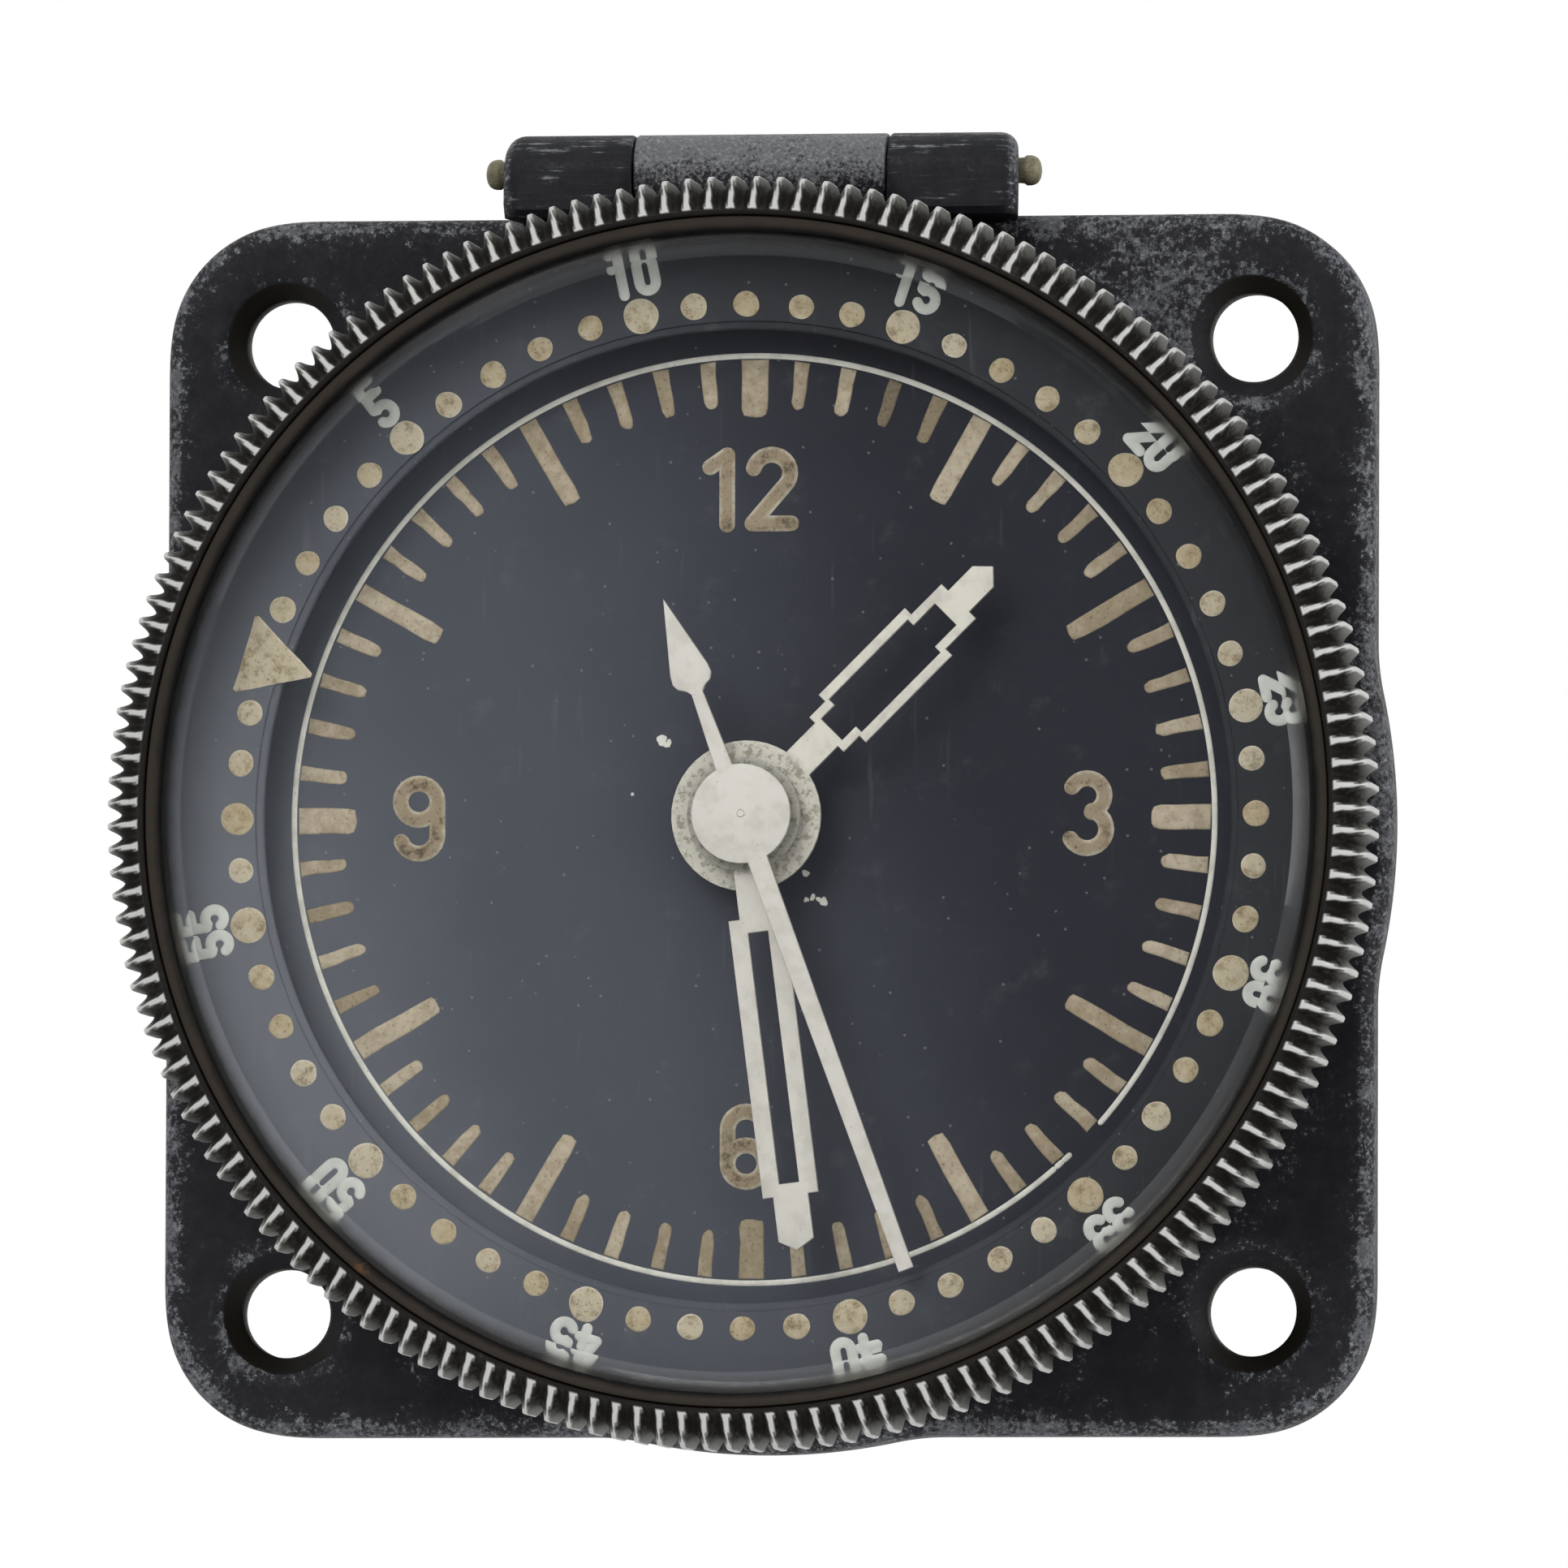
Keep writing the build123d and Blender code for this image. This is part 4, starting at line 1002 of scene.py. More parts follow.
def is_inside(point: Flat, loop: Sequence[Flat]) -> bool:
    """Tell whether a point lies inside a loop.

    Args:
        point: The point.
        loop: The loop, in either direction.

    Returns:
        Whether the loop surrounds the point.
    """
    x, y = point
    inside = False
    for i, (x1, y1) in enumerate(loop):
        x2, y2 = loop[i - 1]
        if (y1 > y) != (y2 > y) and x < (x2 - x1) * (y - y1) / (y2 - y1) + x1:
            inside = not inside
    return inside


@dataclass
class PlateCutter:
    """Draws a flat plate with holes and rounded edges into a draft."""

    draft: MeshDraft
    low: float
    high: float
    front_round: float
    rear_round: float = 0.0
    steps: int = 4
    chamfered: bool = False
    merge_distance: float = 1e-6

    def wall(self, loop: Sequence[Flat], side: float) -> tuple[int, int, int]:
        """Draw the wall of one loop from the rear cap to the front cap.

        Args:
            loop: The loop, anticlockwise.
            side: 1 for the outline, -1 for a hole.

        Returns:
            The places of the rear loop and the front loop, and the loop's size.
        """
        rows: list[list[Point]] = []
        if self.rear_round:
            for i in range(self.steps):
                turn = math.pi / 2 * i / self.steps
                back = self.rear_round * (1 - math.sin(turn))
                up = self.rear_round * (1 - math.cos(turn))
                rows.append([(x, y, self.low + up) for x, y in inset(loop, side * back)])
        rows.append([(x, y, self.low + self.rear_round) for x, y in loop])
        for i in range(self.steps + 1):
            turn = math.pi / 2 * i / self.steps
            back = self.front_round * (1 - math.cos(turn))
            up = self.front_round * math.sin(turn)
            if self.chamfered:
                back = up = self.front_round * i / self.steps
            height = self.high - self.front_round + up
            rows.append([(x, y, height) for x, y in inset(loop, side * back)])
        marks = [0.25] * len(rows)
        for i in range(self.steps + 1):
            marks[-1 - i] = 0.85 if i else 0.75
        first = self.draft.rows(rows, marks)
        return first, first + (len(rows) - 1) * len(loop), len(loop)

    def fill(self, loops: Sequence[tuple[int, int]], extra: Sequence[Point] = ()) -> None:
        """Fill between the first loop and the others.

        Args:
            loops: Place and size of each loop's points in the draft, the outline first.
            extra: More points inside the fill.
        """
        draft = self.draft
        places = [first + i for first, size in loops for i in range(size)]
        flats = [Vector(draft.points[place][:2]) for place in places]
        edges = []
        start = 0
        for _, size in loops:
            edges += [(start + i, start + (i + 1) % size) for i in range(size)]
            start += size
        if extra:
            first = draft.add(extra, [])
            places += [first + i for i in range(len(extra))]
            flats += [Vector(point[:2]) for point in extra]
        outlines = [[draft.points[first + i][:2] for i in range(size)] for first, size in loops]
        verts, _, faces, origins, _, _ = delaunay_2d_cdt(flats, edges, [], 1, self.merge_distance)
        for face in faces:
            middle = sum((verts[i] for i in face), Vector((0.0, 0.0))) / len(face)
            inside = is_inside(tuple(middle), outlines[0])
            if inside and not any(is_inside(tuple(middle), hole) for hole in outlines[1:]):
                draft.faces.append(tuple(places[origins[i][0]] for i in face))

    def cut(self, outline: Sequence[Flat], holes: Sequence[Sequence[Flat]] = ()) -> None:
        """Draw the whole plate.

        Args:
            outline: The outline, anticlockwise.
            holes: The holes, anticlockwise.
        """
        walls = [self.wall(outline, 1.0)] + [self.wall(hole, -1.0) for hole in holes]
        self.fill([(rear, size) for rear, _, size in walls])
        self.fill([(front, size) for _, front, size in walls])


@dataclass
class PaintBrush:
    """Draws raised paint: domed strokes, dots and bars."""

    draft: MeshDraft
    base: float
    height: float
    # Across, up and mark of the points of a stroke's section.
    section: tuple[Point, ...] = (
        (-1.0, 0.0, 1.0), (-0.8, 0.75, 0.75), (-0.35, 1.0, 0.1),
        (0.35, 1.0, 0.1), (0.8, 0.75, 0.75), (1.0, 0.0, 1.0),
    )
    mitre_limit: float = 0.62
    end_steps: int = 4

    def stroke(
        self,
        path: Sequence[Flat],
        half: float,
        tone: float = 0.5,
        closed: bool = False,
        lifted: float = 0.0,
    ) -> None:
        """Draw a stroke with round ends along a path.

        Args:
            path: The middle line.
            half: Half the stroke's width.
            tone: Its tone.
            closed: Whether the path joins its start.
            lifted: How much higher its top is, where strokes cross.
        """
        sections: list[tuple[Vector, Vector, float]] = []
        count = len(path)
        for i, point in enumerate(path):
            here = Vector(point)
            before, after = i - 1, (i + 1) % count
            if not closed:
                before, after = max(i - 1, 0), min(i + 1, count - 1)
            along_in = here - Vector(path[before])
            along_out = Vector(path[after]) - here
            along_in = along_in.normalized() if along_in.length else along_out.normalized()
            along_out = along_out.normalized() if along_out.length else along_in
            middle = (along_in + along_out).normalized()
            widen = 1 / max(self.mitre_limit, middle.dot(along_out))
            sections.append((here, Vector((-middle.y, middle.x)), half * widen))
        if not closed:
            steps = self.end_steps
            for end in (0, -1):
                here, side, _ = sections[end]
                out = Vector((-side.y, side.x)) * (1 if end == 0 else -1)
                caps = [
                    (here + out * half * math.sin(turn), side, max(half * math.cos(turn), 0.01))
                    for turn in (math.pi / 2 * (i + 1) / steps for i in range(steps))
                ]
                sections = caps[::-1] + sections if end == 0 else sections + caps
        rows = []
        for here, side, width in sections:
            row = []
            for across, up, _ in self.section:
                spot = here + side * width * across
                row.append((spot.x, spot.y, self.base + up * (self.height + lifted)))
            rows.append(row)
        marks = [mark for _, _, mark in self.section] * len(rows)
        self.draft.rows(rows, marks, tone, closed=closed, capped=not closed)

    def pad(self, loop: Sequence[Flat], tone: float = 0.5, edge: float = 0.12) -> None:
        """Draw a domed pad of paint inside a loop.

        Args:
            loop: The pad's outline, anticlockwise.
            tone: Its tone.
            edge: The width of its sloping rim.
        """
        inner = inset(loop, edge)
        top = self.base + self.height
        middle_x, middle_y = (sum(values) / len(loop) for values in zip(*loop))
        rows = [
            [(x, y, self.base) for x, y in loop],
            [(x, y, self.base + 0.7 * self.height) for x, y in inset(loop, edge * 0.35)],
            [(x, y, top) for x, y in inner],
            [((x - middle_x) * 0.5 + middle_x, (y - middle_y) * 0.5 + middle_y, top) for x, y in inner],
        ]
        self.draft.rows(rows, [1.0, 0.8, 0.35, 0.0], tone, capped=True)


@dataclass
class HandOfPainter:
    """Makes outlines uneven, as paint laid by hand is, from a fixed seed."""

    seed: int

    def __post_init__(self) -> None:
        """Start the fixed random draws."""
        self.random = random.Random(self.seed)

    def uneven_circle(self, radius: float, at: Flat, amount: float, count: int = 24) -> list[Flat]:
        """Give a round outline with slow, uneven bulges.

        Args:
            radius: Mean radius.
            at: Middle.
            amount: Size of the bulges.
            count: Number of points.

        Returns:
            The outline, anticlockwise.
        """
        waves = [
            (n, self.random.uniform(-amount, amount) / n, self.random.uniform(0, FULL_TURN))
            for n in (2, 3, 5)
        ]
        loop = []
        for angle in ring_angles(count):
            reach = radius + sum(size * math.sin(n * angle + turn) for n, size, turn in waves)
            loop.append((at[0] + reach * math.cos(angle), at[1] + reach * math.sin(angle)))
        return loop

    def uneven(self, loop: Sequence[Flat], amount: float) -> list[Flat]:
        """Shift each point of a loop a little.

        Args:
            loop: The loop.
            amount: The furthest shift along each axis.

        Returns:
            The uneven loop.
        """
        return [
            (x + self.random.uniform(-amount, amount), y + self.random.uniform(-amount, amount))
            for x, y in loop
        ]


def arc(at: Flat, radius: float, start: float, end: float) -> list[Flat]:
    """Give the points of an arc.

    Args:
        at: Its middle.
        radius: Its radius.
        start: First angle in degrees, anticlockwise from three o'clock.
        end: Last angle.

    Returns:
        The points, from start to end.
    """
    steps = max(2, round(abs(end - start) / ARC_STEP))
    angles = [math.radians(start + (end - start) * i / steps) for i in range(steps + 1)]
    return [(at[0] + radius * math.cos(turn), at[1] + radius * math.sin(turn)) for turn in angles]


@dataclass(frozen=True)
class Figures:
    """Middle lines of plain upright figures, drawn in a box about the origin."""

    box: Flat = (2.0, 3.5)
    sharp: float = 0.8
    lift: float = 0.004

    def paths(self, figure: str) -> list[tuple[list[Flat], bool]]:
        """Give a figure's strokes.

        Args:
            figure: One of the digits.

        Returns:
            Each stroke's path and whether it is closed.
        """
        hook = arc((0, 0.85), 0.92, 20, 180) + [(-0.92, -0.85)]
        eye = arc((0, -0.85), 0.92, 0, 345)
        shapes: dict[str, list[tuple[list[Flat], bool]]] = {
            "0": [(arc((0, 0.85), 0.9, 0, 180) + arc((0, -0.85), 0.9, 180, 360), True)],
            "1": [([(-0.8, 1.15), (0.05, 1.75), (0.05, -1.75)], False)],
            "2": [(arc((0, 0.85), 0.92, 165, -32) + [(-0.95, -1.7), (0.98, -1.7)], False)],
            "3": [(arc((0, 0.88), 0.86, 150, -75) + arc((0, -0.82), 0.95, 75, -150), False)],
            "4": [
                ([(0.15, 1.75), (-0.95, -0.75), (1.0, -0.75)], False),
                ([(0.45, 0.2), (0.45, -1.75)], False),
            ],
            "5": [
                (
                    [(0.85, 1.7), (-0.7, 1.7), (-0.8, 0.25)] + arc((-0.02, -0.75), 0.98, 118, -150),
                    False,
                )
            ],
            "6": [(hook, False), (eye, True)],
            "9": [([(-x, -y) for x, y in hook], False), ([(-x, -y) for x, y in eye], True)],
        }
        return shapes[figure]

    def legs(self, path: list[Flat]) -> list[list[Flat]]:
        """Part a path at its sharp corners, so that each leg has round ends.

        Args:
            path: The path.

        Returns:
            Its legs.
        """
        parts = [[path[0]]]
        for before, here, after in zip(path, path[1:], path[2:]):
            parts[-1].append(here)
            if (Vector(here) - Vector(before)).angle(Vector(after) - Vector(here)) > self.sharp:
                parts.append([here])
        parts[-1].append(path[-1])
        return parts

    def write(
        self,
        brush: PaintBrush,
        text: str,
        at: Flat,
        turn: float,
        size: Flat,
        half: float,
        gap: float,
        tone: float = 0.5,
    ) -> None:
        """Write a number.

        Args:
            brush: The brush that lays the paint.
            text: The number.
            at: Its middle on the face.
            turn: How far it is turned clockwise, in degrees.
            size: Width and height of the figures' middle lines.
            half: Half the stroke's width.
            gap: Distance between the middles of two figures.
            tone: The paint's tone.
        """
        cosine, sine = math.cos(math.radians(-turn)), math.sin(math.radians(-turn))
        for i, figure in enumerate(text):
            across = (i - (len(text) - 1) / 2) * gap
            lifted = 0.0
            for path, closed in self.paths(figure):
                line = []
                for x, y in path:
                    wide = across + x * size[0] / self.box[0]
                    tall = y * size[1] / self.box[1]
                    spot_x = at[0] + wide * cosine - tall * sine
                    line.append((spot_x, at[1] + wide * sine + tall * cosine))
                for leg in [line] if closed else self.legs(line):
                    brush.stroke(leg, half, tone, closed, lifted)
                    lifted += self.lift


@dataclass
class Casting:
    """The flange with its collar, can, plunger seat and the two outer hinge knuckles."""

    side_x: float = 60.1
    side_y: float = 60.2
    corner: float = 6.4
    thickness: float = 2.5
    bulge: float = 31.0
    hole_place: float = 24.0
    hole_radius: float = 2.2
    hole_rim: float = 0.88
    can_outer: float = 28.5
    can_inner: float = 26.5
    can_end: float = -13.0
    collar: float = 27.1
    collar_bore: float = 24.6
    collar_top: float = 8.7
    dial_seat: float = 6.1
    shoulder: float = 23.2
    works_front: float = 2.9
    edge_round: float = 0.8
    foot_round: float = 0.3
    pocket_at: Flat = (-8.0995, 23.3288)
    pocket_low: float = 2.95
    pocket_high: float = 6.05
    pocket_radius: float = 3.63
    lug_ring: float = 24.6
    lug_angles: tuple[float, ...] = (45.0, 135.0, 225.0, 315.0)
    lever_width: float = 12.7
    ear_low: float = 29.85
    ear_width: float = 6.45
    ear_round: float = 0.8
    ear_lean: float = 0.13
    count: int = 720
    round_count: int = 240
    grid: float = 0.75
    rub_width: float = 2.4
    hole_rub_width: float = 2.2
    hole_rub: float = 0.75
    bezel_rub: float = 0.3
    bezel_reach: Flat = (31.0, 33.5)
    crowd_at: Flat = (19.5, 24.0)
    crowd_reach: Flat = (3.0, 10.0)
    crowd_rub: float = 0.72
    sheltered: float = 0.72

    def outline_radius(self, angle: float) -> float:
        """Give the distance from the middle to the flange's edge.

        Args:
            angle: Direction in radians from three o'clock.

        Returns:
            The distance in millimetres.
        """
        across, up = abs(math.cos(angle)), abs(math.sin(angle))
        half_x, half_y = self.side_x / 2, self.side_y / 2
        middle_x, middle_y = half_x - self.corner, half_y - self.corner
        reach = min(half_x / max(across, 1e-9), half_y / max(up, 1e-9))
        if reach * across > middle_x and reach * up > middle_y:
            along = across * middle_x + up * middle_y
            off = middle_x**2 + middle_y**2 - along**2
            reach = along + math.sqrt(max(0.0, self.corner**2 - off))
        reach = max(reach, self.bulge)
        if abs(reach * math.cos(angle)) < self.lever_width / 2 and math.sin(angle) > 0:
            reach = min(reach, half_y / math.sin(angle))
        return reach

    def outline(self) -> list[Flat]:
        """Draw the flange's outline, eased where its straight edges meet the bulges.

        Returns:
            The outline, anticlockwise.
        """
        angles = ring_angles(self.count)
        sharp = [self.outline_radius(angle) for angle in angles]
        reach = range(-4, 5)
        eased = [
            sum(sharp[(i + k) % self.count] for k in reach) / len(reach) for i in range(self.count)
        ]
        return [
            (radius * math.cos(angle), radius * math.sin(angle))
            for radius, angle in zip(eased, angles)
        ]

    def holes(self) -> list[Flat]:
        """Give the middles of the four bolt holes."""
        return [(x * self.hole_place, y * self.hole_place) for x in (-1, 1) for y in (-1, 1)]

    def handling(self, x: float, y: float) -> float:
        """Tell how rubbed a place on the flange's front is, from the nearness of edges.

        Args:
            x: The place across.
            y: The place upwards.

        Returns:
            0 for untouched lacquer and up to 1 at an edge.
        """
        radius = math.hypot(x, y)
        edge = self.outline_radius(math.atan2(y, x)) - radius
        rubbed = 1 - smooth_step(edge, 0.0, self.rub_width)
        for hole_x, hole_y in self.holes():
            near = math.hypot(x - hole_x, y - hole_y) - self.hole_radius
            beside = 1 - smooth_step(near, self.hole_rim, self.hole_rub_width)
            rubbed = max(rubbed, self.hole_rub * beside)
        away = math.hypot(x - self.crowd_at[0], y - self.crowd_at[1])
        crowd = 1 - smooth_step(away, *self.crowd_reach)
        beside = 1 - smooth_step(radius, *self.bezel_reach)
        rubbed = max(rubbed, self.bezel_rub * beside, self.crowd_rub * crowd)
        # The top-left and bottom-right quarters are rubbed less, so they stay darker.
        return rubbed * self.sheltered if x * y < 0 else rubbed

    def recess_tone(self, x: float, y: float) -> float:
        """Give a hole's painted shade: darkest on its wall, and on its chamfer darker on the side away
        from the clock's middle.

        Args:
            x: The place across.
            y: The place upwards.

        Returns:
            0 for the wall itself and up to 0.5 for its rim.
        """
        hole = min(self.holes(), key=lambda at: math.hypot(x - at[0], y - at[1]))
        away = Vector((x - hole[0], y - hole[1]))
        if away.length < self.hole_radius + 0.1:
            return 0.0
        return 0.5 - 0.42 * smooth_step(away.normalized().dot(Vector(hole).normalized()), -0.6, 0.5)

    def front_points(self) -> list[Point]:
        """Scatter a grid of points inside the flange's front, so that wear can vary over it.

        Returns:
            The grid's points.
        """
        points = []
        count = int(self.side_x / self.grid)
        for i in range(count + 1):
            for j in range(count + 1):
                x = (i + (j % 2) / 2 - count / 2) * self.grid
                y = (j - count / 2) * self.grid
                radius = math.hypot(x, y)
                clear = min(math.hypot(x - hole_x, y - hole_y) for hole_x, hole_y in self.holes())
                if clear < self.hole_radius + self.hole_rim + 0.35 or radius < 30.0:
                    continue
                if self.outline_radius(math.atan2(y, x)) - radius > 1.15:
                    points.append((x, y, self.thickness))
        return points

    def plate(self, draft: MeshDraft) -> None:
        """Draw the flange with the collar and the can as one skin.

        Args:
            draft: The draft that takes it.
        """
        cutter = PlateCutter(draft, 0.0, self.thickness, self.edge_round, self.foot_round, 6)
        outer = cutter.wall(self.outline(), 1.0)
        cutter.front_round, cutter.rear_round, cutter.chamfered = self.hole_rim, 0.15, True
        walls = [outer] + [
            cutter.wall(circle(self.hole_radius, 64, at), -1.0) for at in self.holes()
        ]
        skin = (
            (self.collar, self.thickness),
            (self.collar, self.collar_top - 0.25),
            (self.collar - 0.25, self.collar_top),
            (self.collar_bore, self.collar_top),
            (self.collar_bore, self.dial_seat),
            (self.shoulder, self.dial_seat),
            (self.shoulder, self.works_front),
            (self.can_inner, self.works_front),
            (self.can_inner, self.can_end + 0.2),
            (self.can_inner + 0.2, self.can_end),
            (self.can_outer - 0.7, self.can_end),
            (self.can_outer - 0.2, self.can_end + 0.2),
            (self.can_outer, self.can_end + 0.7),
            (self.can_outer, -0.3),
            (self.can_outer + 0.3, 0.0),
        )
        count = self.round_count
        rows = [
            [(radius * math.cos(a), radius * math.sin(a), height) for a in ring_angles(count)]
            for radius, height in skin
        ]
        marks = [0.0] * len(rows)
        marks[9:13] = [0.8, 0.9, 1.0, 0.7]
        first = draft.rows(rows, marks)
        front = [(place, size) for _, place, size in walls]
        cutter.fill(front + [(first, count)], self.front_points())
        last = first + (len(rows) - 1) * count
        cutter.fill([(place, size) for place, _, size in walls] + [(last, count)])

    def ears(self) -> MeshDraft:
        """Draw the two knuckle blocks, rounded along their edges.

        Returns:
            The draft of both blocks.
        """
        draft = MeshDraft()
        low, top, crown = self.ear_low, HINGE_Y + KNUCKLE_RADIUS, HINGE_Z + KNUCKLE_RADIUS
        side = [(low, 0.4), (top - 0.25, 0.4), (top, 0.65), (top, HINGE_Z)]
        side += [
            (HINGE_Y + KNUCKLE_RADIUS * math.cos(a), HINGE_Z + KNUCKLE_RADIUS * math.sin(a))
            for a in (math.radians(9 * i) for i in range(1, 11))
        ]
        side += [(low + 0.35, crown), (low, crown - 0.3)]
        middle_y, middle_z = 31.9, 3.2
        inner, outer = self.lever_width / 2, self.lever_width / 2 + self.ear_width
        steps = [(inner, 0.12), (inner + 0.1, 0.02), (inner + 0.2, 0.0)]
        steps += [(inner + 1.6 * i, 0.0) for i in range(1, 4)]
        steps += [
            (outer - self.ear_round * (1 - math.sin(a)), self.ear_round * (1 - math.cos(a)))
            for a in (math.pi / 2 * i / 5 for i in range(6))
        ]
        for sign in (-1, 1):
            rows, marks = [], []
            for x, shrink in steps:
                row = []
                for y, z in side:
                    away = Vector((y - middle_y, z - middle_z))
                    pull = away.normalized() * min(shrink, away.length * 0.6)
                    foot = z < 1.0
                    y_pull = 0.0 if (foot and y < HINGE_Y) or y <= low else pull.x
                    lean = self.ear_lean * (crown - z) if x > outer - 1.0 else 0.0
                    row.append((sign * (x - lean), y - y_pull, z - (0.0 if foot else pull.y)))
                rows.append(row)
                worn = 0.3 if shrink > 0.15 else 0.0
                # Rubbed more towards the top; the lighter top is partly painted light, for light
                # falling from above.
                marks += [0.3 + 0.4 * smooth_step(y, 32.6, 33.9) + worn for y, _ in side]
            draft.rows(rows, marks, capped=True)
        return draft

    def seat(self, draft: MeshDraft) -> None:
        """Draw the round seat of the plunger and the lugs of the cover's screws.

        Args:
            draft: The draft that takes them.
        """
        profile = ((2.0, 27.6), (2.0, 28.75), (1.85, 28.9), (0.9, 28.9), (0.9, 27.6))
        draft.turned(profile, 40, place=lambda u, v, w: (u, w, -4.2 + v))
        for angle in self.lug_angles:
            x, y = on_clock(self.lug_ring, angle)
            lug = ((0.7, -11.8), (2.2, -11.8), (2.2, -8.8), (0.7, -8.8))
            draft.turned(lug, 32, place=lambda u, v, w, x=x, y=y: (x + u, y + v, w))

    def cut_pocket(self, casting: bpy.types.Object) -> None:
        """Cut the winding pinion's pocket through the collar's wall.

        Args:
            casting: The casting, whose mesh is replaced by the cut one.
        """
        x, y = self.pocket_at
        ends = ((self.pocket_radius, self.pocket_low), (self.pocket_radius, self.pocket_high))
        sides = MeshDraft()
        sides.turned(ends, 48, closed=False, place=lambda u, v, w: (x + u, y + v, w))
        mesh = bpy.data.meshes.new("pocket")
        mesh.from_pydata([face_point(*point) for point in sides.points], [], sides.faces)
        cutter = add_object("pocket", mesh)
        cut = casting.modifiers.new("pocket", "BOOLEAN")
        cut.operation, cut.solver, cut.object = "DIFFERENCE", "EXACT", cutter
        graph = bpy.context.evaluated_depsgraph_get()
        shape = bpy.data.meshes.new_from_object(casting.evaluated_get(graph))
        casting.modifiers.clear()
        casting.data = shape
        bpy.data.objects.remove(cutter)

    def build(self) -> None:
        """Build the casting and its knuckles."""
        draft = MeshDraft()
        self.plate(draft)
        for i, (x, y, z) in enumerate(draft.points):
            near = min(math.hypot(x - hole_x, y - hole_y) for hole_x, hole_y in self.holes())
            if abs(z - self.thickness) < 0.01 and math.hypot(x, y) > 29.5:
                draft.marks[i] = self.handling(x, y)
            # The bolt holes' walls and chamfers get a tone for painted shade.
            elif near < self.hole_radius + self.hole_rim:
                draft.marks[i], draft.tones[i] = 0.0, self.recess_tone(x, y)
        self.seat(draft)
        casting = draft.build("casting", Body.CASE, Slot.LACQUER, LACQUER, ("case_body",), 50)
        self.cut_pocket(casting)
        self.ears().build(
            "hinge_knuckles", Body.CASE, Slot.LACQUER, LACQUER_EAR, ("case_body",), 40
        )


@dataclass
class Hinge:
    """The middle knuckle with its tail, and the pin through all three knuckles."""

    axis_y: float = HINGE_Y
    axis_z: float = HINGE_Z
    knuckle: float = KNUCKLE_RADIUS
    width: float = 12.5
    tail_low: float = 31.3
    tail_high: float = 32.4
    tail_end: float = -5.7
    pin_radius: float = 0.75
    pin_half: float = 13.8

    def lever(self) -> MeshDraft:
        """Draw the middle knuckle with its tail as one rounded section.

        Returns:
            The lever's draft.
        """
        side = [
            (self.axis_y + self.knuckle * math.cos(a), self.axis_z + self.knuckle * math.sin(a))
            for a in (math.radians(-80 + 285 * i / 22) for i in range(23))
        ]
        side += [(self.tail_low, self.axis_z - 1.9), (self.tail_low, self.tail_end + 0.3)]
        side += [(self.tail_low + 0.3, self.tail_end), (self.tail_high - 0.3, self.tail_end)]
        side += [(self.tail_high, self.tail_end + 0.3), (self.tail_high, self.axis_z - 1.95)]
        draft = MeshDraft()
        half = self.width / 2
        rows, marks = [], []
        ends = ((half, 0.15), (half - 0.05, 0.04), (half - 0.15, 0.0), (half / 2, 0.0))
        steps = [(-x, shrink) for x, shrink in ends] + [(0.0, 0.0), *reversed(ends)]
        for x, shrink in steps:
            rows.append([(x, y, z) for y, z in inset(side, shrink)])
            # Rubbed more towards the top; the lighter top is partly painted light, for light falling
            # from above.
            marks += [0.45 + 0.4 * smooth_step(y, 31.0, 33.5) for y, _ in side]
        draft.rows(rows, marks, capped=True)
        return draft

    def pin(self) -> MeshDraft:
        """Draw the pin with its rounded, slightly spread ends.

        Returns:
            The pin's draft.
        """
        draft = MeshDraft()
        half, radius = self.pin_half, self.pin_radius
        end = [
            (0.18, half),
            (0.42, half - 0.06),
            (0.6, half - 0.17),
            (0.7, half - 0.32),
            (radius, half - 0.5),
            (radius, half - 0.72),
            (radius - 0.1, half - 0.85),
            (radius - 0.12, half - 1.1),
        ]
        profile = [(across, -along) for across, along in end] + end[::-1]
        draft.turned(
            profile,
            32,
            closed=False,
            place=lambda u, v, w: (w, self.axis_y + u, self.axis_z + v),
        )
        return draft

    def build(self) -> None:
        """Build the lever and the pin, and dress the plunger and its spring."""
        self.lever().build("lever", Body.LEVER, Slot.LACQUER, LACQUER_LEVER, ("setting_lever",), 40)
        self.pin().build("hinge_pin_round", Body.CASE, Slot.PIN, PIN_METAL, ("hinge_pin",), 50)
        dress("setting_plunger", SCREW_METAL)
        dress("plunger_spring", SPRING_METAL)


